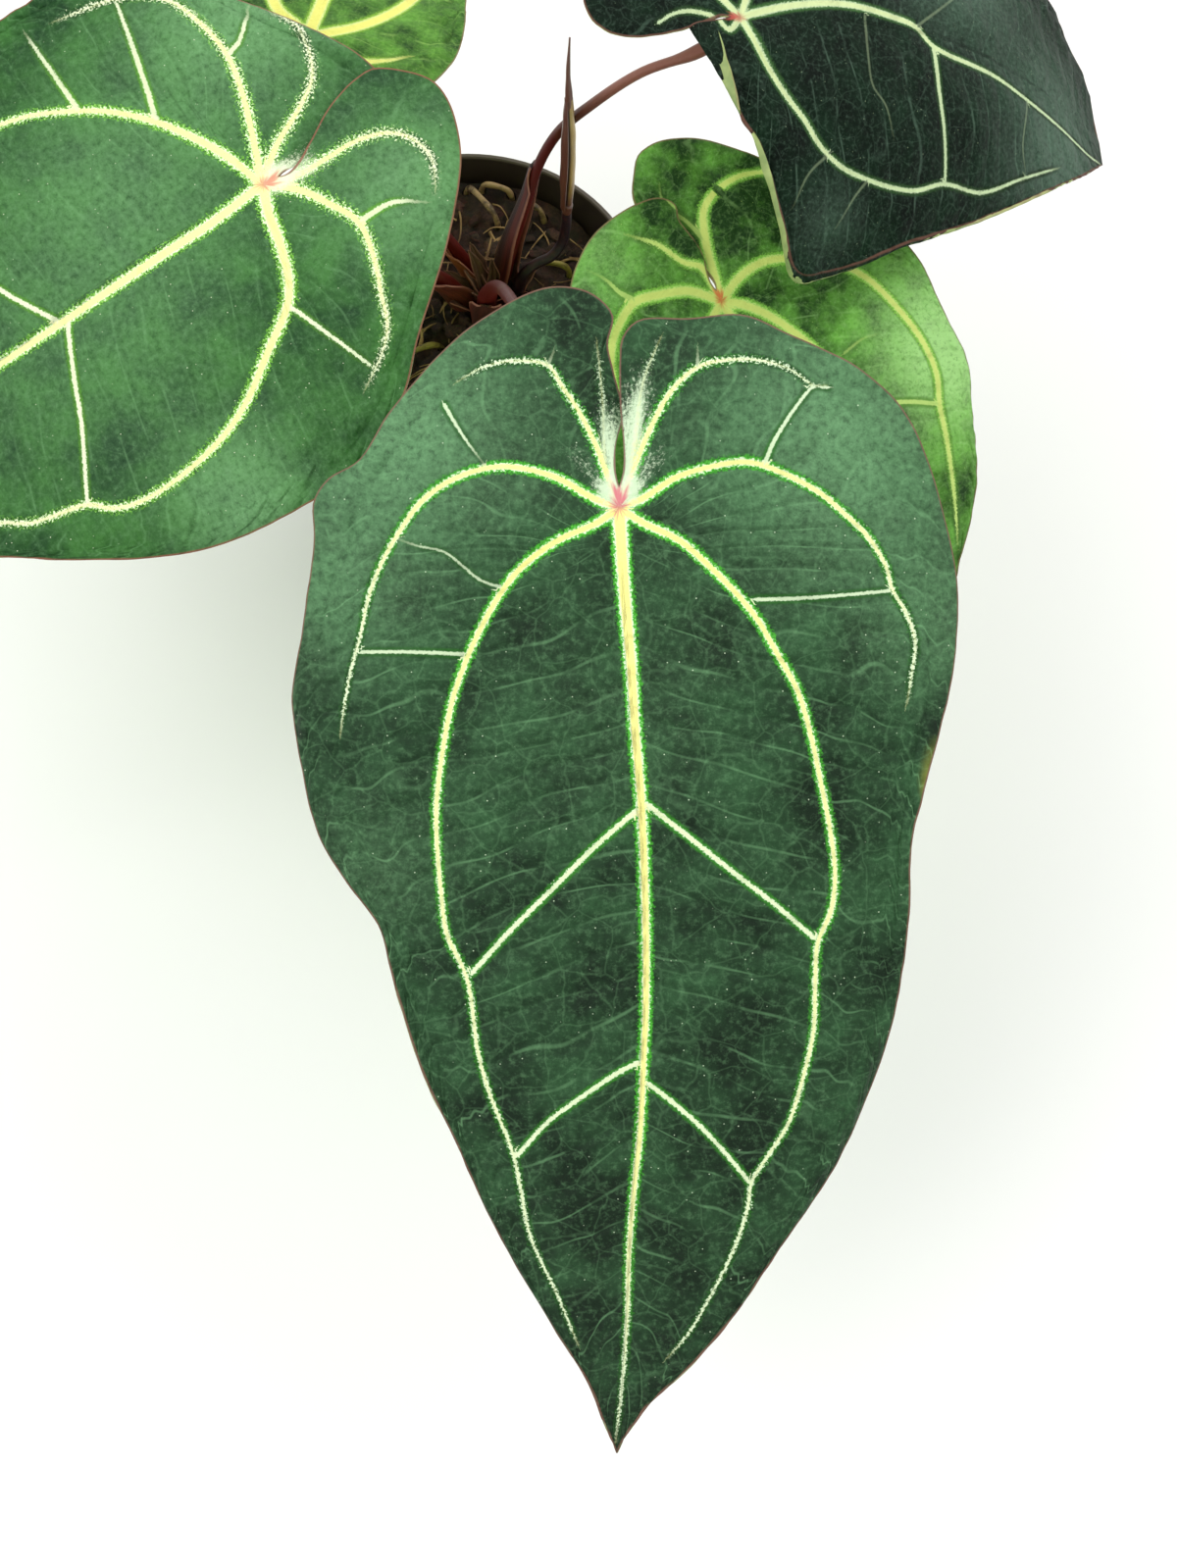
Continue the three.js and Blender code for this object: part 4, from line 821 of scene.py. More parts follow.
def leafMaterials(name):
    # velvety leaf blade: tiny upright cells give a soft sheen, the veins are bare, pale and a little glossy
    look = dict(zip(bladeColours, leafLooks[name]), yellow=agedYellow)
    netShown, sideShown, raggedness, silk, gloss = bladeDetail[name]
    velvet, add = newMaterial(name + "LeafVelvet", look["mid"])
    gap, half, pale, feather, away, edge, toneAndPaintedLight, aged, reach, ray, plume, rowWay, columnWay, jointAway = (
        add("Attribute", (), 2, attribute_name=what)
        for what in ("veinGap", "veinHalf", "veinPale", "veinFeather", "veinAway", "edgeGap", "toneAndPaintedLight", "aged",
                     "reach", "ray", "plume", "rowWay", "columnWay", "jointAway"))
    flat = add("UVMap", uv_map="flat")
    # close to a vein its middle is found from the signed distance, which stays sharp between mesh points
    middle = add("Math", [gap, half], operation="ADD")
    close = add("Math", [middle, 1.5], operation="LESS_THAN")
    sharp = add("Math", [away], operation="ABSOLUTE")
    middle = add("Mix", {0: close, 2: middle, 3: sharp})
    gap = add("Math", [middle, half], operation="SUBTRACT")
    # the edges of the veins are ragged with hairs 0.8 mm apart and finer
    hair = add("TexNoise", {"Vector": flat, "Scale": 120, "Detail": 3, "Roughness": 0.75})
    ragged = add("Math", [hair, 0.5], operation="SUBTRACT")
    ragged = add("Math", [ragged, feather], operation="MULTIPLY")
    ragged = add("Math", [ragged, raggedness, gap], operation="MULTIPLY_ADD")
    flank = add("MapRange", [ragged, 0.15, -0.2], **smooth)
    fringe = add("MapRange", [ragged, 1.3, 0.2], **smooth)
    # painted shade: the blade darker just beside each vein, as the shadow along its groove
    shadeBesideVein = add("MapRange", [gap, 1.4, 0.3, 0, 0.85], **smooth)
    shadeBesideVein = add("Math", [shadeBesideVein, pale], operation="MULTIPLY")
    coreEdge = add("Math", [half, -0.7, middle], operation="MULTIPLY_ADD")
    coreEdge = add("Math", [hair, 0.8, coreEdge], operation="MULTIPLY_ADD")
    core = add("MapRange", [coreEdge, 0.7, 0.15, 0, 0.9], **smooth)
    # the blade between the veins: broad patches with the painted sheen and shade of the patch field, fine
    # mottle, a faint net and the grain of the cells
    patches = add("TexNoise", {"Vector": flat, "Scale": 4.5, "Detail": 5, "Roughness": 0.6})
    mottle = add("TexNoise", {"Vector": flat, "Scale": 45, "Detail": 5, "Roughness": 0.75})
    # painted light: the patch field lightens and darkens the blade with painted sheen and shade
    level = add("Math", [toneAndPaintedLight, 0.16, patches], operation="MULTIPLY_ADD")
    level = add("MapRange", [level, 0.36, 0.66])
    # painted sheen: a pale haze mottled over the patches that are paler
    paintedSheen = add("Math", [toneAndPaintedLight, mottle], operation="MULTIPLY")
    paintedSheen = add("MapRange", [paintedSheen, 0.02, 0.55, 0, 0.9])
    flecks = add("MapRange", [mottle, 0.5, 0.75, 0, 0.3])
    shadows = add("MapRange", [mottle, 0.47, 0.3, 0, 0.45])
    bends = add("TexNoise", {"Vector": flat, "Scale": 9, "Detail": 2}, 1)
    bent = add("Mix", {0: 0.06, 6: flat, 7: bends}, 2, **rgba)
    net = add("TexVoronoi", {"Vector": bent, "Scale": 9}, feature="DISTANCE_TO_EDGE")
    net = add("MapRange", [net, 0.03, 0.005, 0, netShown], **smooth)
    # side veins 9 mm apart, thin and broken, that leave the main ones towards the tip
    sideWise = add("CombineXYZ", [rowWay, columnWay])
    wander = add("Mapping", {"Vector": sideWise, "Scale": (0.03, 0.035, 1)})
    wander = add("TexNoise", {"Vector": wander, "Scale": 1, "Detail": 2})
    phase = add("Math", [wander, 22, rowWay], operation="MULTIPLY_ADD")
    phase = add("Math", [phase, 1 / 9], operation="MULTIPLY")
    phase = add("Math", [phase], operation="FRACT")
    phase = add("Math", [phase, 0.5], operation="SUBTRACT")
    between = add("Math", [phase], operation="ABSOLUTE")
    broken = add("TexNoise", {"Vector": flat, "Scale": 7, "Detail": 3})
    broken = add("MapRange", [broken, 0.42, 0.6, 0, sideShown])
    sideVein = add("MapRange", [between, 0.06, 0.01], **smooth)
    sideVein = add("Math", [sideVein, broken], operation="MULTIPLY")
    old = add("Math", [aged, patches], operation="MULTIPLY")
    old = add("MapRange", [old, 0.2, 0.6, 0, 0.8], **smooth)
    # glints: painted highlights, single swollen cells that catch the light, drawn 0.3 mm wide so that they
    # show
    cells = add("TexVoronoi", {"Vector": flat, "Scale": 42}, feature="F1")
    glint = add("MapRange", [cells, 0.1, 0.04, 0, 0.75], **smooth)
    chosen = add("MapRange", [cells.node.outputs[1], 0.5, 0.7])
    glint = add("Math", [glint, chosen], operation="MULTIPLY")
    # the veins over it: green fringe, whitish flanks, yellow core
    stout = add("MapRange", [half, 0.35, 1.1, 0.15, 1], **smooth)
    fringeOn = add("Math", [fringe, stout], operation="MULTIPLY")
    fringeOn = add("Math", [fringeOn, pale], operation="MULTIPLY")
    flankOn = add("Math", [flank, pale], operation="MULTIPLY")
    coreOn = add("Math", [core, stout], operation="MULTIPLY")
    mainVein = add("MapRange", [feather, 0.25, 1, 0.3, 1])
    coreOn = add("Math", [coreOn, mainVein], operation="MULTIPLY")
    # silvery hairs that fan out from the joint along the sinus, 0.5 mm wide
    rayWise = add("CombineXYZ", [ray, reach])
    strandWise = add("Mapping", {"Vector": rayWise, "Scale": (30, 0.4, 1)})
    strands = add("TexNoise", {"Vector": strandWise, "Scale": 1, "Detail": 5, "Roughness": 0.8})
    strands = add("Math", [strands, hair], operation="ADD")
    strands = add("Math", [plume, 0.75, strands], operation="MULTIPLY_ADD")
    strands = add("MapRange", [strands, 1.32, 1.72, 0, 0.85], **smooth)
    # the flushed joint, a ragged streak about 3 mm across and 6 mm long
    rayWise = add("Mapping", {"Vector": rayWise, "Scale": (4.5, 0.12, 1)})
    rays = add("TexNoise", {"Vector": rayWise, "Scale": 1, "Detail": 2})
    star = add("Math", [rays, -9, jointAway], operation="MULTIPLY_ADD")
    flush = add("MapRange", [star, 0.3, -3.4, 0, 0.9], **smooth)
    line = add("MapRange", [edge, 0.6, 0.2, 0, 0.9], **smooth)
    rough = add("MapRange", [flankOn, 0, 1, 0.6, 0.42])
    # relief: quilting between the side veins and the patches, then the grain of the cells
    dome = add("MapRange", [between, 0, 0.35, 0, 0.7], **smooth)
    farOut = add("MapRange", [reach, 12, 36], **smooth)
    dome = add("Math", [dome, farOut], operation="MULTIPLY")
    dome = add("Math", [broken, 1.5, dome], operation="MULTIPLY_ADD")
    dome = add("Math", [patches, 2, dome], operation="MULTIPLY_ADD")
    quilt = add("Bump", {"Height": dome, "Strength": 0.7, "Distance": 0.0014})
    grain = add("Math", [hair, 0.7, mottle], operation="MULTIPLY_ADD")
    layers = ((level, "mid"), (paintedSheen, "pale"), (flecks, "pale"), (shadows, "dark"), (net, "pale"),
              (sideVein, "pale"), (shadeBesideVein, "dark"), (old, "yellow"), (glint, "flank"), (fringeOn, "fringe"),
              (flankOn, "flank"), (coreOn, "core"), (strands, "flank"), (flush, "centre"), (line, "margin"))
    closeMaterial(add, look["dark"], [(amount, look[layer]) for amount, layer in layers], rough,
                  (grain, 0.4, 0.0007, quilt), {"Sheen Weight": silk, "Sheen Roughness": 0.4,
                                                "Sheen Tint": "#CFE6C4", "Specular IOR Level": gloss})

    # the back of the blade: matt and paler, with the same veins
    back, add = newMaterial(name + "LeafUnderside", look["under"])
    gap = add("Attribute", (), 2, attribute_name="veinGap")
    onVein = add("MapRange", [gap, 0.5, -0.3, 0, 0.8], **smooth)
    mottle = add("TexNoise", {"Vector": add("TexCoord", (), 3), "Scale": 220, "Detail": 4})
    closeMaterial(add, look["under"], [(mottle, look["fringe"]), (onVein, look["flank"])], 0.6,
                  (mottle, 0.25, 0.0004))

    # the thin edge, flushed brownish pink
    rim, add = newMaterial(name + "LeafEdge", look["margin"])
    mottle = add("TexNoise", {"Vector": add("TexCoord", (), 3), "Scale": 300, "Detail": 2})
    closeMaterial(add, look["margin"], [(mottle, look["under"])], 0.55)
    return velvet, back, rim


for name, leaf in leaves.items():
    makeBlade(name, leaf)


def ringedCylinder(sides, rings):
    # an upright cylinder, one high and one in radius, with rings between its ends
    deselectAll()
    bpy.ops.mesh.primitive_cylinder_add(vertices=sides, radius=1, depth=1, end_fill_type="TRIFAN",
                                        location=(0, 0, 0))
    piece = bpy.context.object
    mesh = piece.data
    height = meshNumbers(mesh)[:, 2]
    upright = [bool(abs(height[e.vertices[0]] - height[e.vertices[1]]) > 0.5) for e in mesh.edges]
    editMode("DESELECT", "EDGE")
    objectMode()
    mesh.edges.foreach_set("select", upright)
    bpy.ops.object.mode_set(mode="EDIT")
    bpy.ops.mesh.subdivide(number_cuts=rings - 1)
    objectMode()
    return piece


def bendAlong(mesh, points, radiusAt):
    # lays an upright unit cylinder along a smooth line
    places = meshNumbers(mesh)
    t = np.clip(places[:, 2] + 0.5, 0, 1)
    line = smoothLine(points)
    s = lengthsAlong(line) / lengthsAlong(line)[-1]
    centre = np.stack([np.interp(t, s, line[:, k]) for k in range(3)], axis=1)
    # frames carried along the line without twist
    count = 240
    fine = np.linspace(0, 1, count + 1)
    path = np.stack([np.interp(fine, s, line[:, k]) for k in range(3)], axis=1)
    ahead = np.gradient(path, axis=0)
    ahead /= np.linalg.norm(ahead, axis=1)[:, None]
    side = np.cross(ahead[0], [0.3, 0.9, 0.1])
    sides = []
    for direction in ahead:
        side = side - direction * (side @ direction)
        side = side / np.linalg.norm(side)
        sides.append(side)
    sides = np.array(sides)
    others = np.cross(ahead, sides)
    nearest = np.rint(t * count).astype(int)
    angle = np.arctan2(places[:, 1], places[:, 0])
    radius = np.hypot(places[:, 0], places[:, 1]) * radiusAt(t, angle)
    around = sides[nearest] * np.cos(angle)[:, None] + others[nearest] * np.sin(angle)[:, None]
    moveVertices(mesh, (centre + around * radius[:, None]) * mm)
    return t


def sweep(points, radiusAt, sides=20, rings=60, channel=None):
    # a round body along a line; radiusAt takes the share of the length and the angle
    piece = ringedCylinder(sides, rings)
    places = meshNumbers(piece.data)
    angle = np.arctan2(places[:, 1], places[:, 0])
    along = bendAlong(piece.data, points, radiusAt)
    keepValue(piece.data, "alongStalk", along)
    if channel:
        keepValue(piece.data, "channel", channel(along, angle))
    outward(piece)
    smoothByAngle(piece, 50)
    return piece


def valueAlong(pairs, t):
    # the eased value at each share of the way, from (share, value) pairs
    places, values = np.array(pairs, float).T
    t = np.asarray(t, float)
    i = np.clip(np.searchsorted(places, t) - 1, 0, len(places) - 2)
    f = np.clip((t - places[i]) / (places[i + 1] - places[i]), 0, 1)
    return values[i] + (values[i + 1] - values[i]) * f * f * (3 - 2 * f)


# leaf stalks: sheathing foot, slender middle, swollen knee under the blade
stalkLook = {"radii": [(0, 3.4), (0.1, 3.2), (0.3, 2), (0.85, 1.7), (0.94, 2.4), (1, 2.2)],
             "skin": "#54281E", "dark": "#2A1612", "red": "#5E140E", "pale": "#8E5C4E", "green": "#665A36",
             "channel": {"front": -60, "left": 230, "right": -30, "young": -20, "back": 200}, "depth": 0.3}


def stalkMaterial():
    # waxy plant skin, reddish brown and finely streaked along the stalk
    look = stalkLook
    material, add = newMaterial("stalkSkin", look["skin"])
    channel = add("Attribute", (), 2, attribute_name="channel")
    place = add("TexCoord", (), 3)
    streaks = add("Mapping", {"Vector": place, "Scale": (900, 900, 60)})
    streak = add("TexNoise", {"Vector": streaks, "Scale": 1, "Detail": 3})
    patch = add("TexNoise", {"Vector": place, "Scale": 60, "Detail": 3})
    # paler where the right one rises high, red in the channels, at the feet and up the ones beside the middle
    height = add("SeparateXYZ", [place], 2)
    outer = add("MapRange", [height.node.outputs[0], 0.026, 0.04])
    high = add("MapRange", [height, 0.17, 0.2, 0, 0.75])
    high = add("Math", [high, outer], operation="MULTIPLY")
    red = add("MapRange", [channel, 0.05, 0.5, 0, 0.95], **smooth)
    foot = add("MapRange", [height, 0.165, 0.125, 0, 0.85])
    inward = add("MapRange", [outer, 1, 0, 0, 0.7])
    for amount in (foot, inward):
        red = add("Math", [red, amount], operation="MAXIMUM")
    green = add("MapRange", [patch, 0.55, 0.75, 0, 0.35], **smooth)
    layers = [(streak, look["skin"]), (high, look["pale"]), (red, look["red"]), (green, look["green"])]
    closeMaterial(add, look["dark"], layers, 0.42, (streak, 0.3, 0.0004),
                  {"Coat Weight": 0.03, "Coat Roughness": 0.3, "Specular IOR Level": 0.14})
    return material


def stalkLine(leaf):
    size = hubSize(leaf)
    top = placeOnBlade(leaf, np.zeros(1), np.array([-1.0]), np.array([-size]))[0]
    knee = np.array(leaf["stalk"][-1], float)
    return leaf["stalk"] + [tuple(top + (knee - top) / np.linalg.norm(knee - top) * (size + 0.5))]


def stalkRadius(leaf, t):
    return valueAlong(stalkLook["radii"], t) * (leaf["length"] / plant["drawnLength"]) ** 0.35


def inChannel(name, t, angle):
    # near 1 in the channel of the sheathing foot; a sweep's angles start 161.6 degrees round from the x axis
    off = angle - math.radians(stalkLook["channel"][name] - 161.6)
    return np.exp((np.cos(off) - 1) / 0.3) * eased((0.36 - t) / 0.2)


def makeStalks():
    skin = stalkMaterial()
    for name, leaf in leaves.items():
        def radiusAt(t, angle):
            uneven = 0.02 * np.cos(5 * angle) - stalkLook["depth"] * inChannel(name, t, angle)
            return stalkRadius(leaf, t) * (1 + uneven)

        piece = sweep(stalkLine(leaf), radiusAt, sides=28, channel=lambda t, angle: inChannel(name, t, angle))
        finishPiece(piece, name + "Stalk", [name + "_leaf_stalk"], [skin])
    report("stalks")


makeStalks()

# the nursery pot, in millimetres
potLook = {"height": 105, "rim": 60, "rimDepth": 13, "band": 57, "foot": 42, "wall": 2, "floor": 2.2,
           "sides": 96, "holes": 6, "holeRadius": 3.4, "holesAt": 33.5,
           # the last colour is the painted highlight on the top of the rim
           "plastic": "#2E231C", "worn": "#463A2F", "rimHighlight": "#625547"}


def potMaterial():
    # injection moulded polypropylene: dark brown and dull, faint flow marks and dust, a painted highlight
    # along the top of the rim
    look = potLook
    material, add = newMaterial("mouldedPolypropylene", look["plastic"])
    place = add("TexCoord", (), 3)
    dust = add("TexNoise", {"Vector": place, "Scale": 45, "Detail": 6, "Roughness": 0.7})
    grain = add("TexNoise", {"Vector": place, "Scale": 1800, "Detail": 2})
    dusty = add("MapRange", [dust, 0.45, 0.8, 0, 0.6])
    height = add("SeparateXYZ", [place], 2)
    # painted highlight: a paler band round the top of the rim
    top = add("MapRange", [height, (look["height"] - 1.1) * mm, (look["height"] - 0.4) * mm, 0, 0.6])
    rough = add("MapRange", [dust, 0.3, 0.7, 0.42, 0.62])
    closeMaterial(add, look["plastic"], [(dusty, look["worn"]), (top, look["rimHighlight"])], rough,
                  (grain, 0.15, 0.0002))
    return material


def potWall(z):
    # how far out the inside of the wall is at a height
    look = potLook
    slope = (look["band"] - look["foot"]) / (look["height"] - look["rimDepth"])
    return look["foot"] - look["wall"] + slope * z


def makePot():
    look = potLook
    high, rim, band, foot, floor = (look[k] for k in ("height", "rim", "band", "foot", "floor"))
    under = high - look["rimDepth"]
    # (radius, height) from the ring under the base, up the outside, over the rim and down the inside
    profile = [(28, 0), (29, 1.6), (38, 1.6), (39, 0), (foot - 0.6, 0), (foot, 0.5), (foot + 0.4, 3),
               (band - 0.6, under - 1), (rim - 0.8, under), (rim - 0.5, under + 0.6), (rim, high - 2),
               (rim - 0.2, high - 0.6), (rim - 0.7, high), (rim - 1.7, high), (rim - 2.1, high - 0.5),
               (rim - 2.3, high - 2), (band - look["wall"], under), (potWall(floor + 4), floor + 4),
               (potWall(0) - 3, floor + 1.6), (39, floor + 1.6), (28, floor + 1.6), (27, floor)]
    deselectAll()
    bpy.ops.mesh.primitive_circle_add(vertices=look["sides"], radius=profile[0][0] * mm, fill_type="NGON",
                                      location=(0, 0, 0))
    piece = bpy.context.object
    editMode(kind="EDGE")
    bpy.ops.mesh.flip_normals()
    extrudeRings(profile)
    objectMode()
    outward(piece)
    for i in range(look["holes"]):
        a, away = 2 * math.pi * i / look["holes"], look["holesAt"] * mm
        deselectAll()
        bpy.ops.mesh.primitive_cylinder_add(vertices=24, radius=look["holeRadius"] * mm, depth=10 * mm,
                                            location=(away * math.cos(a), away * math.sin(a), 2.5 * mm))
        cutAway(piece, bpy.context.object)
    smoothByAngle(piece, 30)
    finishPiece(piece, "nurseryPot", ["pot"], [potMaterial()])
    report("pot")


makePot()

# the potting mix: a bed, bark chips and coir on it; in millimetres, turns in radians; the width and thickness
# of a chip and the bow of a fibre are shares of its length
mixLook = {"top": 94, "fall": 3.5, "rise": 4, "radius": 55, "depth": 80, "sunk": 0.5,
           "clearOfWall": 51, "clearOfRoot": 1.8, "clearance": 0.6,
           "chips": 150, "chipSize": (1.1, 3.4), "chipReach": 50, "chipWorn": 0.22, "chipWidth": (0.5, 0.8),
           "chipThick": (0.2, 0.4), "chipTip": 0.45,
           "fibres": 300, "fibreLength": (6, 18), "fibreReach": 49, "fibreBow": 0.4, "fibreArc": 5,
           "fibreThick": (0.2, 0.42), "stoutThick": (0.5, 0.8), "stoutEach": 8,
           "dark": "#170B06", "brown": "#4A2814", "bark": "#5E3820", "barkDark": "#24120A",
           "fibre": "#B08C5C", "fibreDark": "#5A3A20"}


def mixHeight(x, y):
    ripple = 0.9 * np.sin(x * 0.21 + 1) * np.cos(y * 0.17) + 0.6 * np.sin(x * 0.43 - y * 0.37)
    return mixLook["top"] + (mixLook["rise"] * y - mixLook["fall"] * x) / mixLook["radius"] + ripple


def barkMaterial(name, dark, brown, grain):
    # composted bark and coir: damp, fibrous and matt
    material, add = newMaterial(name, brown)
    place = add("TexCoord", (), 3)
    crumbs = add("TexVoronoi", {"Vector": place, "Scale": grain}, 1, feature="F1")
    fine = add("TexNoise", {"Vector": place, "Scale": grain * 3, "Detail": 5, "Roughness": 0.7})
    broadly = add("TexNoise", {"Vector": place, "Scale": 90, "Detail": 2})
    level = add("Math", [fine, broadly], operation="MULTIPLY")
    level = add("MapRange", [level, 0.15, 0.42])
    colour = add("Mix", {0: level, 6: dark, 7: brown}, 2, **rgba)
    colour = add("Mix", {0: 0.35, 6: colour, 7: crumbs}, 2, blend_type="OVERLAY", **rgba)
    dull = add("HueSaturation", {"Saturation": 0.85, "Color": colour})
    closeMaterial(add, dull, (), 0.9, (fine, 0.8, 0.001))
    return material


def makeMix():
    look = mixLook
    edge = potWall(look["top"] - look["fall"] - 3) - 0.4
    deselectAll()
    bpy.ops.mesh.primitive_circle_add(vertices=potLook["sides"], radius=edge * mm, fill_type="NOTHING",
                                      location=(0, 0, 0))
    piece = bpy.context.object
    editMode()
    extrudeRings([(r, 0) for r in np.linspace(edge, 1.2, 44)])
    objectMode()
    mesh = piece.data
    places = meshNumbers(mesh) / mm
    x, y = places[:, 0], places[:, 1]
    lumps = ripples(x, y, 5, 9, 12) + 0.6 * ripples(x, y, 6, 4, 14)
    rim = np.hypot(x, y) > edge - 0.01
    bed = mixHeight(x, y) + lumps * eased((edge - np.hypot(x, y)) / 3) - 1.2
    places[:, 2] = np.where(rim, mixHeight(x, y) - 1, bed)
    moveVertices(mesh, places * mm)
    # the hidden body under the top
    editMode("DESELECT", "VERT")
    objectMode()
    mesh.vertices.foreach_set("select", rim)
    bpy.ops.object.mode_set(mode="EDIT")
    bpy.ops.mesh.select_mode(type="EDGE")
    bpy.ops.mesh.extrude_edges_move(TRANSFORM_OT_translate={"value": (0, 0, -look["depth"] * mm)})
    ratio = (potWall(potLook["floor"] + 5) - 0.8) / edge
    bpy.ops.transform.resize(value=(ratio, ratio, 0))
    bpy.ops.mesh.edge_face_add()
    objectMode()
    outward(piece)
    deselectAll()
    bpy.ops.mesh.primitive_cylinder_add(vertices=48, radius=(crownLook["radius"] + 0.3) * mm, depth=60 * mm,
                                        location=(crownLook["x"] * mm, crownLook["y"] * mm, 96 * mm))
    cutAway(piece, bpy.context.object)
    for run in rootLook["runs"]:
        cutAway(piece, sweep(rootLine(run), lambda t, angle: 1.65 + 0 * t, sides=12, rings=30))
    smoothByAngle(piece, 50)
    piece.data.materials.append(barkMaterial("barkAndCoir", look["dark"], look["brown"], 260))
    finishPiece(joinPieces([piece] + barkChips() + coirFibres()), "pottingMix", ["potting_mix"])
    report("potting mix")


def isFree(x, y, room):
    # away from the wall, the crown and the roots
    fromCrown = math.hypot(x - crownLook["x"], y - crownLook["y"])
    if math.hypot(x, y) > mixLook["clearOfWall"] - room or fromCrown < crownLook["radius"] + 1 + room:
        return False
    for x0, y0, x1, y1, rise in rootLook["runs"]:
        t = min(max(((x - x0) * (x1 - x0) + (y - y0) * (y1 - y0)) / ((x1 - x0) ** 2 + (y1 - y0) ** 2), 0), 1)
        if math.hypot(x - x0 - t * (x1 - x0), y - y0 - t * (y1 - y0)) < mixLook["clearOfRoot"] + room:
            return False
    return True


def spotWithin(random, reach):
    away, angle = reach * math.sqrt(random.uniform()), random.uniform(0, 2 * math.pi)
    return away * math.cos(angle), away * math.sin(angle)


def barkChips():
    # one worn chip of bark, then its copies, each turned, stretched and sunk a little
    look = mixLook
    random = np.random.default_rng(41)
    deselectAll()
    bpy.ops.mesh.primitive_cube_add(size=2, location=(0, 0, 0))
    first = bpy.context.object
    bpy.ops.object.mode_set(mode="EDIT")
    bpy.ops.mesh.subdivide(number_cuts=1, smoothness=0.7)
    objectMode()
    first.data.materials.append(barkMaterial("pineBark", look["barkDark"], look["bark"], 420))
    shape = meshNumbers(first.data)
    chips = []
    while len(chips) < look["chips"]:
        x, y = spotWithin(random, look["chipReach"])
        size = random.uniform(*look["chipSize"])
        if not isFree(x, y, size + look["clearance"]):
            continue
        worn = 1 + look["chipWorn"] * random.uniform(-1, 1, shape.shape)
        sides = np.array([1, random.uniform(*look["chipWidth"]), random.uniform(*look["chipThick"])])
        bx, by, bz = (shape * worn * size * sides).T
        turn, tip = random.uniform(0, math.pi), random.uniform(-look["chipTip"], look["chipTip"])
        bx, bz = bx * math.cos(tip) - bz * math.sin(tip), bx * math.sin(tip) + bz * math.cos(tip)
        bx, by = bx * math.cos(turn) - by * math.sin(turn), bx * math.sin(turn) + by * math.cos(turn)
        chips.append(copyOf(first))
        z = mixHeight(x, y) - look["sunk"]
        moveVertices(chips[-1].data, np.stack([bx + x, by + y, bz + z], axis=1) * mm)
    bpy.data.objects.remove(first, do_unlink=True)
    return chips


def coirFibres():
    # tan coir, one fibre bent anew for each copy, lying in low arcs; every so many is a stout one
    look = mixLook
    random = np.random.default_rng(43)
    first = ringedCylinder(5, 9)
    first.data.materials.append(fibreMaterial())
    fibres = []
    while len(fibres) < look["fibres"]:
        x, y = spotWithin(random, look["fibreReach"])
        heading = random.uniform(0, 2 * math.pi)
        length = random.uniform(*look["fibreLength"])
        bow = random.uniform(-look["fibreBow"], look["fibreBow"])
        points = []
        for t in (-0.5, -0.2, 0.2, 0.5):
            along, off = t * length, bow * length * (0.25 - t * t) * 2
            px = x + along * math.cos(heading) - off * math.sin(heading)
            py = y + along * math.sin(heading) + off * math.cos(heading)
            arc = (0.25 - t * t) * look["fibreArc"] * random.uniform(0.3, 1)
            points.append((px, py, mixHeight(px, py) + arc - look["sunk"]))
        if not all(isFree(px, py, look["clearance"]) for px, py, pz in points):
            continue
        slender = len(fibres) % look["stoutEach"]
        thick = random.uniform(*look["fibreThick"] if slender else look["stoutThick"])
        fibres.append(copyOf(first))
        bendAlong(fibres[-1].data, points, lambda t, angle: thick * (1 - 0.5 * t))
    bpy.data.objects.remove(first, do_unlink=True)
    return fibres


def fibreMaterial():
    # dry coir fibre: tan, matt, streaked with brown
    material, add = newMaterial("coirFibre", mixLook["fibre"])
    patch = add("TexNoise", {"Vector": add("TexCoord", (), 3), "Scale": 160, "Detail": 3})
    tan = add("MapRange", [patch, 0.35, 0.65])
    closeMaterial(add, mixLook["fibreDark"], [(tan, mixLook["fibre"])], 0.8, (patch, 0.4, 0.0002))
    return material


# aerial roots: (from x, y, to x, y, rise), lying over the mix with both ends in it
rootLook = {"runs": [(4.5, 51, 14.5, 48.6, 3), (21.5, 21.5, 34, 20.5, 3.5), (-0.5, 50.5, 10, 38, 4),
                     (-8, -8, -28, -18, 4), (18, 45, 25.5, 40.5, 4)],
            "olive": "#96843A", "tan": "#AA8A60", "dark": "#402E1C"}


def rootLine(run):
    x0, y0, x1, y1, rise = run
    top = max(mixHeight(x0, y0), mixHeight(x1, y1), mixHeight((x0 + x1) / 2, (y0 + y1) / 2))
    return [(x0 + (x1 - x0) * t, y0 + (y1 - y0) * t, top + z) for t, z in (
        (0, -12), (0, -1), (0.14, rise * 0.8), (0.5, rise), (0.86, rise * 0.7), (1, -1), (1, -12))]


def rootMaterial(colour):
    # living root skin: waxy olive or tan, scurfy, with darker scars
    material, add = newMaterial(colour + "RootSkin", rootLook[colour])
    place = add("TexCoord", (), 3)
    scurf = add("TexNoise", {"Vector": place, "Scale": 420, "Detail": 4, "Roughness": 0.7})
    patch = add("TexNoise", {"Vector": place, "Scale": 110, "Detail": 2})
    level = add("Math", [scurf, patch], operation="ADD")
    level = add("MapRange", [level, 0.8, 1.1])
    closeMaterial(add, rootLook["dark"], [(level, rootLook[colour])], 0.55, (scurf, 0.5, 0.0004))
    return material


def makeRoots():
    skins = rootMaterial("tan"), rootMaterial("olive")
    for i, run in enumerate(rootLook["runs"]):
        def radiusAt(t, angle):
            return 1 + 0.1 * np.sin(t * 31 + i) + 0.05 * np.cos(3 * angle + t * 9)

        piece = sweep(rootLine(run), radiusAt, sides=16, rings=48)
        finishPiece(piece, f"root{i + 1}", [f"root_{i + 1}"], [skins[i % 2]])
    report("roots")


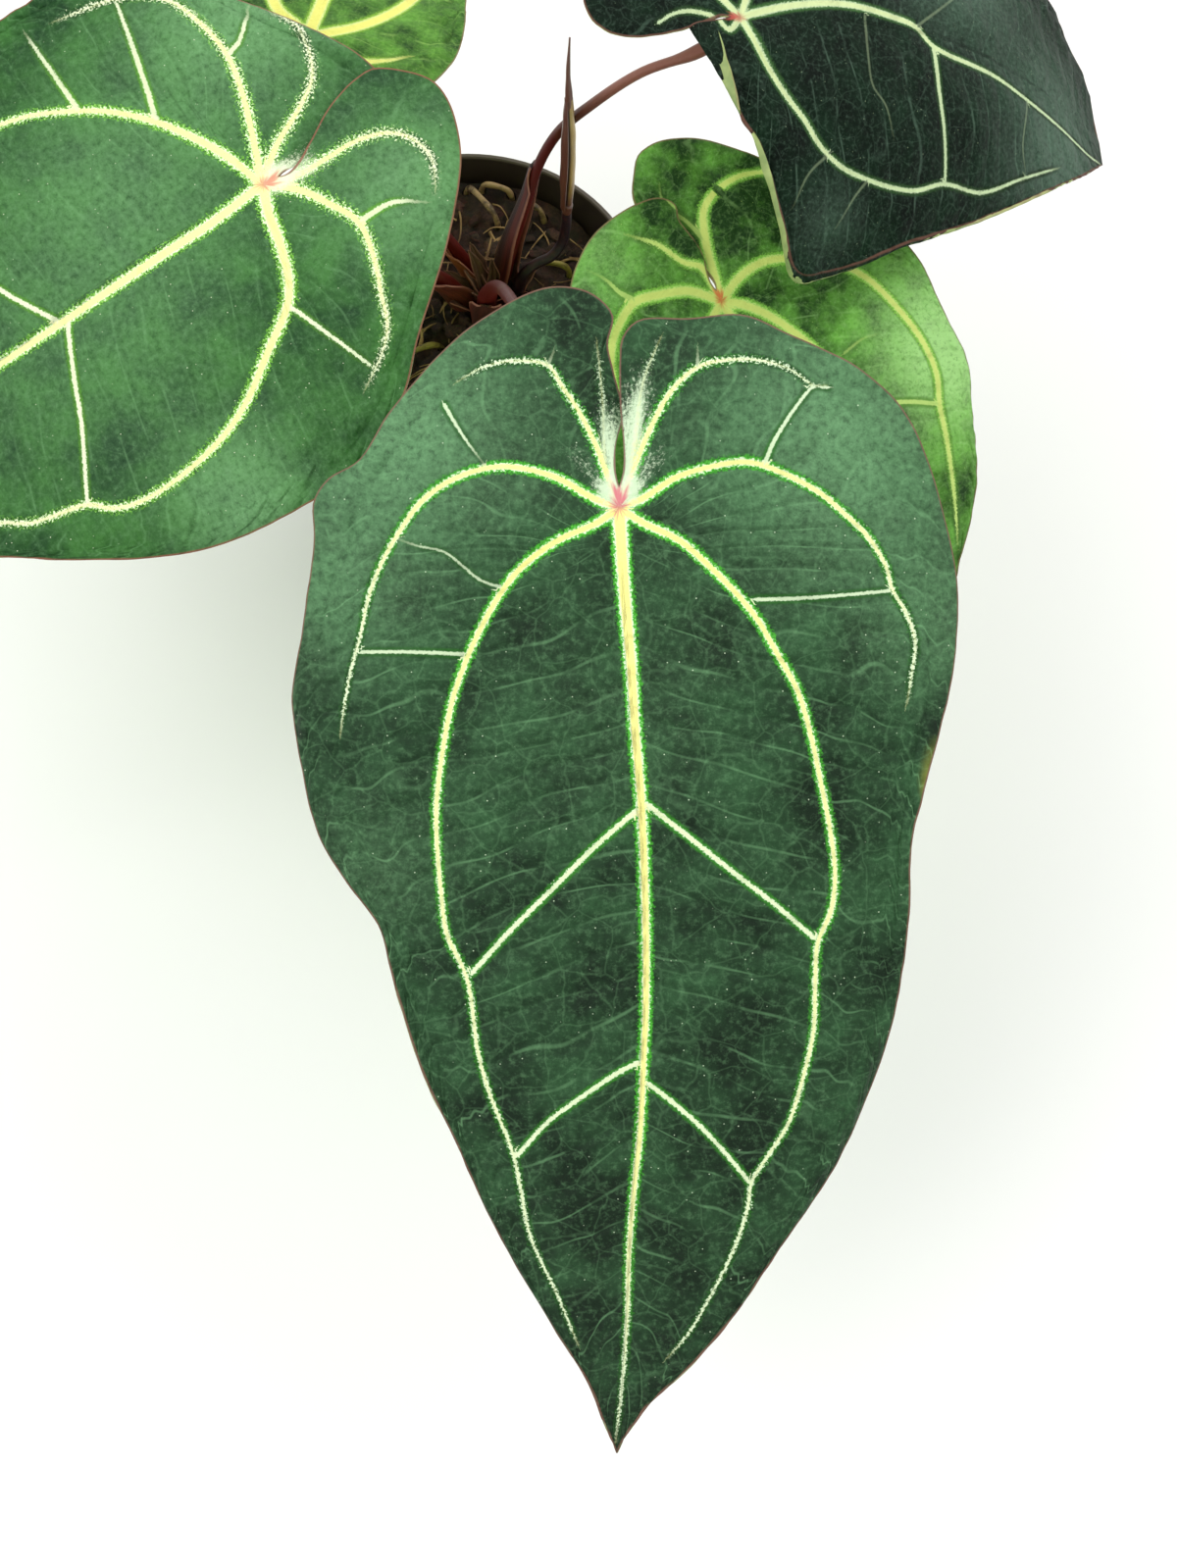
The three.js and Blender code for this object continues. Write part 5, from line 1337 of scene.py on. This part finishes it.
# the crown: a short stem, sheaths round the feet of the stalks, dry pointed scales between them
# a scale is (angle in degrees, distance out, foot height, length, half width, lean, curl, how dry)
# a sheath is (last share of the stalk that it clasps, way it faces in degrees, half angle at foot and top,
# flare, how dry, how orange, how dusky its middle)
crownLook = {
    "x": 10, "y": 9, "radius": 11, "bottom": 66, "top": 98.5, "scaleThick": 0.35, "sheathThick": 0.5,
    "gap": 0.3, "sheathFoot": 0.015,
    "scales": [(100, 3.5, 96, 15, 2.6, 2, 14, 1), (140, 5, 96, 19, 3.2, 8, 22, 1),
               (170, 8.5, 95, 16, 3.4, 20, 24, 1), (196, 6, 96, 22, 3, 4, 12, 1),
               (214, 9, 95, 17, 3.6, 18, 26, 0.8), (236, 7, 96, 21, 2.6, 6, 18, 1),
               (258, 9, 95, 15, 3.8, 16, 30, 0.7), (284, 8.5, 95, 14, 3.2, 14, 34, 0.3),
               (304, 4.5, 96, 16, 3.4, 6, 26, 0.2), (345, 9.2, 95, 13, 3.4, 12, 40, 0.1),
               (62, 9, 95, 15, 3.4, 16, 24, 0.9), (82, 6.5, 96, 18, 2.4, 6, 16, 1),
               (120, 9.3, 95, 14, 3.2, 22, 22, 1), (30, 9.4, 95, 10, 2.8, 24, 30, 0.9),
               (205, 2.5, 97, 17, 2.2, 2, 10, 1)],
    "sheaths": {"right": (0.3, 150, 132, 100, 1.1, 0.1, 0, 1), "back": (0.16, 215, 110, 60, 1.4, 0.3, 1, 0),
                "left": (0.2, 255, 124, 60, 2.2, 0.15, 0.15, 0.2),
                "young": (0.2, 160, 128, 70, 1.6, 0.05, 0, 0.6),
                "front": (0.14, -100, 118, 60, 1.6, 0.2, 0, 0.6)},
    "stem": "#3A261C", "dry": "#5C3C26", "dryPale": "#967450", "fresh": "#7C2420", "orange": "#B0602E",
    "edge": "#B87A66", "deep": "#320C0E", "dusk": "#2C1614"}


def crownMaterial():
    # sheath skin: fresh ones glossy red with a pale rim, dry ones papery brown, both streaked lengthwise
    look = crownLook
    material, add = newMaterial("sheathSkin", look["fresh"])
    dry, across, along, warm, dusky = (add("Attribute", (), 2, attribute_name=what)
                                       for what in ("dryness", "across", "upward", "warmth", "dusk"))
    streakWise = add("CombineXYZ", [across, along, dry])
    streakWise = add("Mapping", {"Vector": streakWise, "Scale": (9, 1.3, 7)})
    streak = add("TexNoise", {"Vector": streakWise, "Scale": 1, "Detail": 4, "Roughness": 0.7})
    blotch = add("TexNoise", {"Vector": add("TexCoord", (), 3), "Scale": 130, "Detail": 3})
    streaky = add("MapRange", [streak, 0.35, 0.68])
    edge = add("Math", [across], operation="ABSOLUTE")
    middle = add("MapRange", [edge, 0.75, 0.5], **smooth)
    middle = add("Math", [middle, dusky], operation="MULTIPLY")
    rim = add("MapRange", [edge, 0.88, 1, 0, 0.65], **smooth)
    papery = add("Mix", {0: streaky, 6: look["stem"], 7: look["dryPale"]}, 2, **rgba)
    papery = add("Mix", {0: blotch, 6: papery, 7: look["dry"]}, 2, **rgba)
    rough = add("MapRange", [dry, 0, 1, 0.38, 0.78])
    layers = [(streaky, look["fresh"]), (warm, look["orange"]), (middle, look["dusk"]), (dry, papery),
              (rim, look["edge"])]
    closeMaterial(add, look["deep"], layers, rough, (streak, 0.6, 0.0004))
    return material


def tint(piece, tints):
    for attribute, value in zip(("dryness", "warmth", "dusk"), tints):
        keepValue(piece.data, attribute, np.full(len(piece.data.vertices), value))


def makeStrip(shapeAt, tints, columns=12, rows=20, thick=crownLook["scaleThick"]):
    # a grid shaped by shapeAt(t, s), t from foot to tip and s from -1 to 1 across, then given its thickness
    deselectAll()
    bpy.ops.mesh.primitive_grid_add(x_subdivisions=columns, y_subdivisions=rows, size=2, location=(0, 0, 0))
    piece = bpy.context.object
    grid = meshNumbers(piece.data)
    s, t = grid[:, 0], (grid[:, 1] + 1) / 2
    for attribute, values in (("across", s), ("upward", t)):
        keepValue(piece.data, attribute, values)
    tint(piece, tints)
    moveVertices(piece.data, shapeAt(t, s) * mm)
    editMode()
    bpy.ops.mesh.remove_doubles(threshold=plant["weld"] * mm)
    objectMode()
    applyModifier(piece, "SOLIDIFY", {"thickness": thick * mm, "offset": 0})
    outward(piece)
    smoothByAngle(piece, 50)
    return piece


def scaleShape(scale, seed):
    angle, away, foot, length, half, lean, curl, dry = scale
    a = math.radians(angle)
    out, side = np.array([math.cos(a), math.sin(a), 0]), np.array([-math.sin(a), math.cos(a), 0])
    up = np.array([0, 0, 1])
    base = np.array([crownLook["x"], crownLook["y"], foot]) + out * away

    def shapeAt(t, s):
        # turnedArc gives the run along its first angle; here that is the upright
        ahead, rise, tilt = turnedArc(math.radians(lean), math.radians(curl) / length, t * length)
        ragged = (s > 0) * np.sin(t * 17 + seed) + (s < 0) * np.sin(t * 13 + seed * 2)
        width = half * (1 - t ** 1.8) ** 0.8 * (1 + 0.12 * ragged)
        hollow = (width * s) ** 2 / (2 * half) + 0.25 * dry * np.sin(7 * s + seed + 4 * t)
        spine = base + up * ahead[:, None] + out * rise[:, None]
        return spine + side * (width * s)[:, None] - out * (hollow * np.cos(tilt))[:, None]

    return shapeAt


def sheathShape(leaf, sheath, seed):
    last, facing, wrapFoot, wrapTop, flare = sheath[:5]
    first = crownLook["sheathFoot"]
    line = smoothLine(stalkLine(leaf))
    share = lengthsAlong(line) / lengthsAlong(line)[-1]

    def shapeAt(t, s):
        along = first + (last - first) * t
        centre = np.stack([np.interp(along, share, line[:, k]) for k in range(3)], axis=1)
        radius = stalkRadius(leaf, along) + 0.75 + 0.5 * (1 - t)
        wing = flare * np.abs(s) ** 5 * np.sin(np.pi * np.clip(0.12 + t * 0.85, 0, 1)) ** 0.7
        # the top runs out in a tongue
        wrap = np.radians(wrapFoot + (wrapTop - wrapFoot) * t) * np.clip((1 - t) * 6, 0.25, 1) ** 0.6
        angle = math.radians(facing) + wrap * s + 0.06 * np.sin(9 * t + seed)
        radius = radius + wing + 0.15 * np.sin(5 * s + 6 * t + seed)
        return centre + np.stack([radius * np.cos(angle), radius * np.sin(angle), 0 * radius], axis=1)

    return shapeAt


def cutSocket(piece, line, radiusAt, sides, rings):
    # room for a stalk, from a little under its foot
    (x, y, z), gap = line[0], crownLook["gap"]
    line = [(x, y, z - 0.4)] + line[1:]
    cutAway(piece, sweep(line, lambda t, angle: radiusAt(t) + gap, sides=sides, rings=rings))


def makeCrown():
    look = crownLook
    radius, low, top = look["radius"], look["bottom"] + 0.5, look["top"]
    profile = [(2, low), (radius - 0.4, low), (radius - 0.2, 88), (radius - 0.3, top - 5),
               (radius - 1.4, top - 2), (radius - 4, top), (2, top + 1)]
    place = (look["x"] * mm, look["y"] * mm)
    deselectAll()
    bpy.ops.mesh.primitive_circle_add(vertices=40, radius=profile[0][0] * mm, fill_type="NGON",
                                      location=(*place, low * mm))
    stem = bpy.context.object
    editMode(kind="EDGE")
    extrudeRings(profile, place)
    objectMode()
    bpy.ops.object.transform_apply(location=True, rotation=False, scale=False)
    outward(stem)
    for attribute, value in (("across", 0.3), ("upward", 0.5)):
        keepValue(stem.data, attribute, np.full(len(stem.data.vertices), value))
    tint(stem, (0.85, 0, 0))
    parts = [stem]
    for i, scale in enumerate(look["scales"]):
        parts.append(makeStrip(scaleShape(scale, 2.4 * i), (scale[-1], 0, 0)))
    for i, (name, sheath) in enumerate(look["sheaths"].items()):
        shape = sheathShape(leaves[name], sheath, 1.7 * i)
        parts.append(makeStrip(shape, sheath[5:], columns=24, rows=30, thick=look["sheathThick"]))
    skin = crownMaterial()
    for part in parts:
        part.data.materials.append(skin)
    piece = joinPieces(parts)
    for leaf in leaves.values():
        cutSocket(piece, stalkLine(leaf), lambda t: stalkRadius(leaf, t), 20, 60)
    cutSocket(piece, budLook["stalk"], lambda t: valueAlong(budLook["radii"], t), 18, 50)
    piece.data.validate()
    smoothByAngle(piece, 50)
    finishPiece(piece, "crownSheaths", ["crown"])
    report("crown")


# the new leaf: a thin purple-brown stalk and the blade still rolled up, with a whip at its tip
budLook = {
    "stalk": [(17, 11.5, 98), (20, 14, 104.5), (24, 16, 106.6), (28.4, 17.4, 108.2), (31.6, 19.8, 111.5),
              (33.2, 21.6, 118.5), (33.6, 22, 127)],
    "radii": [(0, 2), (0.3, 1.7), (1, 1.6)], "bottom": 127.3, "top": 186, "tip": (35.2, 23, 214),
    "thick": 0.55,
    "turns": 1.3, "swell": [(0, 0.8), (0.3, 1.05), (0.64, 1), (0.86, 0.7), (1, 0.5)], "start": -3.8,
    "plugRadii": [(0, 1.55), (0.5, 1.9), (1, 1)], "whipRadii": [(0, 1.2), (0.2, 1.15), (0.5, 0.7), (1, 0.3)],
    # the darkest colour is the painted shade in the slit beside the outer flap
    "copper": "#94702C", "flush": "#522024", "pale": "#BE9C54", "slitShade": "#1C0A0A", "stalkDark": "#20141A",
    "stalkRed": "#4A2426"}


def rollMaterial():
    # young leaf, not yet hardened: coppery and glossy, veins pressed through
    look = budLook
    material, add = newMaterial("unfurledCopper", look["copper"])
    along, around = (add("Attribute", (), 2, attribute_name=what) for what in ("alongStalk", "around"))
    veinWise = add("CombineXYZ", [along, around])
    veinWise = add("Mapping", {"Vector": veinWise, "Scale": (2.5, 5, 1), "Rotation": (0, 0, 0.12)})
    streak = add("TexNoise", {"Vector": veinWise, "Scale": 1, "Detail": 5, "Roughness": 0.7})
    streaky = add("MapRange", [streak, 0.35, 0.65])
    # the outer flap and the foot are flushed purple, and painted shade darkens the slit beside the flap
    flap = add("MapRange", [around, 0.62, 0.76, 0, 0.9], **smooth)
    low = add("MapRange", [along, 0.34, 0, 0, 0.9], **smooth)
    flushed = add("Math", [flap, low], operation="MAXIMUM")
    slitShade = add("MapRange", [around, 0.31, 0.25, 0, 0.95], **smooth)
    layers = [(streaky, look["pale"]), (flushed, look["flush"]), (slitShade, look["slitShade"])]
    closeMaterial(add, look["copper"], layers, 0.38, (streak, 0.5, 0.0005),
                  {"Coat Weight": 0.15, "Coat Roughness": 0.25})
    return material


def purpleMaterial():
    # the new leaf's stalk, almost black-purple and a little glossy, with redder flecks
    material, add = newMaterial("purpleStalkSkin", budLook["stalkDark"])
    fleck = add("TexNoise", {"Vector": add("TexCoord", (), 3), "Scale": 300, "Detail": 4, "Roughness": 0.7})
    redder = add("MapRange", [fleck, 0.45, 0.7, 0, 0.8])
    closeMaterial(add, budLook["stalkDark"], [(redder, budLook["stalkRed"])], 0.4, (fleck, 0.2, 0.0003))
    return material


def rollAxis(z):
    # the middle of the rolled leaf at a height
    above = np.asarray(z, float) - budLook["bottom"]
    x, y = 33.6 + 1.2 * np.sin(above * 0.03), 22 + above * 0.012
    return np.stack([x, y, above + budLook["bottom"]], axis=-1)


def makeNewLeaf():
    look = budLook

    def radiusAt(t, angle):
        return valueAlong(look["radii"], t) * (1 + 0.03 * np.cos(3 * angle))

    piece = sweep(look["stalk"], radiusAt, sides=20, rings=70)
    finishPiece(piece, "newLeafStalk", ["new_leaf_stalk"], [purpleMaterial()])
    # the rolled blade: a sheet wound round itself, its free edge waved a little
    deselectAll()
    bpy.ops.mesh.primitive_grid_add(x_subdivisions=56, y_subdivisions=80, size=2, location=(0, 0, 0))
    scroll = bpy.context.object
    grid = meshNumbers(scroll.data)
    around, along = (grid[:, 0] + 1) / 2, (grid[:, 1] + 1) / 2
    low, high = look["bottom"], look["top"]
    angle = look["start"] + 2 * math.pi * look["turns"] * around + 0.25 * np.sin(3 * along)
    radius = (1.2 + look["turns"] * around) * valueAlong(look["swell"], along)
    radius = radius + 0.05 * np.sin(23 * along + 9 * around)
    radius = radius + 0.35 * eased((around - 0.93) / 0.07) * np.sin(np.pi * along)
    keepValue(scroll.data, "alongStalk", along)
    keepValue(scroll.data, "around", around)
    turned = np.stack([radius * np.cos(angle), radius * np.sin(angle), 0 * radius], axis=1)
    moveVertices(scroll.data, (rollAxis(low + 3 + (high - low - 3) * along) + turned) * mm)
    applyModifier(scroll, "SOLIDIFY", {"thickness": look["thick"] * mm, "offset": 0})
    outward(scroll)
    smoothByAngle(scroll, 50)
    plug = sweep([tuple(rollAxis(low + up)) for up in (0, 3, 7)],
                 lambda t, angle: valueAlong(look["plugRadii"], t), sides=20, rings=16)
    whip = sweep([tuple(rollAxis(high + up)) for up in (-5, 0, 12)] + [look["tip"]],
                 lambda t, angle: valueAlong(look["whipRadii"], t), sides=16, rings=40)
    for part, start in ((plug, 0), (whip, 0.9)):
        keepValue(part.data, "around", np.full(len(part.data.vertices), 0.9))
        keepValue(part.data, "alongStalk", keptValue(part.data, "alongStalk") * 0.1 + start)
    copper = rollMaterial()
    for part in (scroll, plug, whip):
        part.data.materials.append(copper)
    finishPiece(joinPieces([scroll, plug, whip]), "newLeafRoll", ["new_leaf_roll"])
    report("new leaf")


makeMix()
makeRoots()
makeCrown()
makeNewLeaf()

# floor, lamps and camera; a lamp is (where it is in metres, its size, its watts) and is aimed at the pot
studio = {"floor": "#F4F4F2", "world": 0.75,
          "lamps": [((-0.9, -0.5, 1.5), 1.2, 14), ((1.1, 0.3, 1.3), 1.0, 8), ((0.1, 1.2, 1.1), 1.0, 6)],
          "cameraPlace": (40.6, -414.5, 788.3), "elevation": 70, "lens": 55}


def makeStudio():
    deselectAll()
    bpy.ops.mesh.primitive_plane_add(size=8, location=(0, 0, 0))
    floor = bpy.context.object
    floor.name = "studioFloor"
    # board with a faint roller grain, painted matt
    material, add = newMaterial("paintedBoard", studio["floor"])
    grain = add("TexNoise", {"Vector": add("TexCoord", (), 3), "Scale": 40, "Detail": 3})
    closeMaterial(add, studio["floor"], (), 0.8, (grain, 0.02, 0.001))
    floor.data.materials.append(material)
    for where, size, watts in studio["lamps"]:
        bpy.ops.object.light_add(type="AREA", location=where)
        lamp = bpy.context.object
        lamp.data.size = size
        lamp.data.energy = watts
        lamp.rotation_euler = (-lamp.location.normalized()).to_track_quat("-Z", "Y").to_euler()
    world = bpy.data.worlds.new("studio")
    bpy.context.scene.world = world
    world.use_nodes = True
    world.node_tree.nodes["Background"].inputs["Color"].default_value = (1, 1, 1, 1)
    world.node_tree.nodes["Background"].inputs["Strength"].default_value = studio["world"]
    bpy.context.scene.view_settings.view_transform = "Standard"
    bpy.ops.object.camera_add(location=[c * mm for c in studio["cameraPlace"]],
                              rotation=(math.radians(90 - studio["elevation"]), 0, 0))
    camera = bpy.context.object
    camera.data.lens = studio["lens"]
    camera.data.sensor_width = 36
    camera.data.clip_end = 20
    bpy.context.scene.camera = camera


makeStudio()
report("floor, lights and camera")
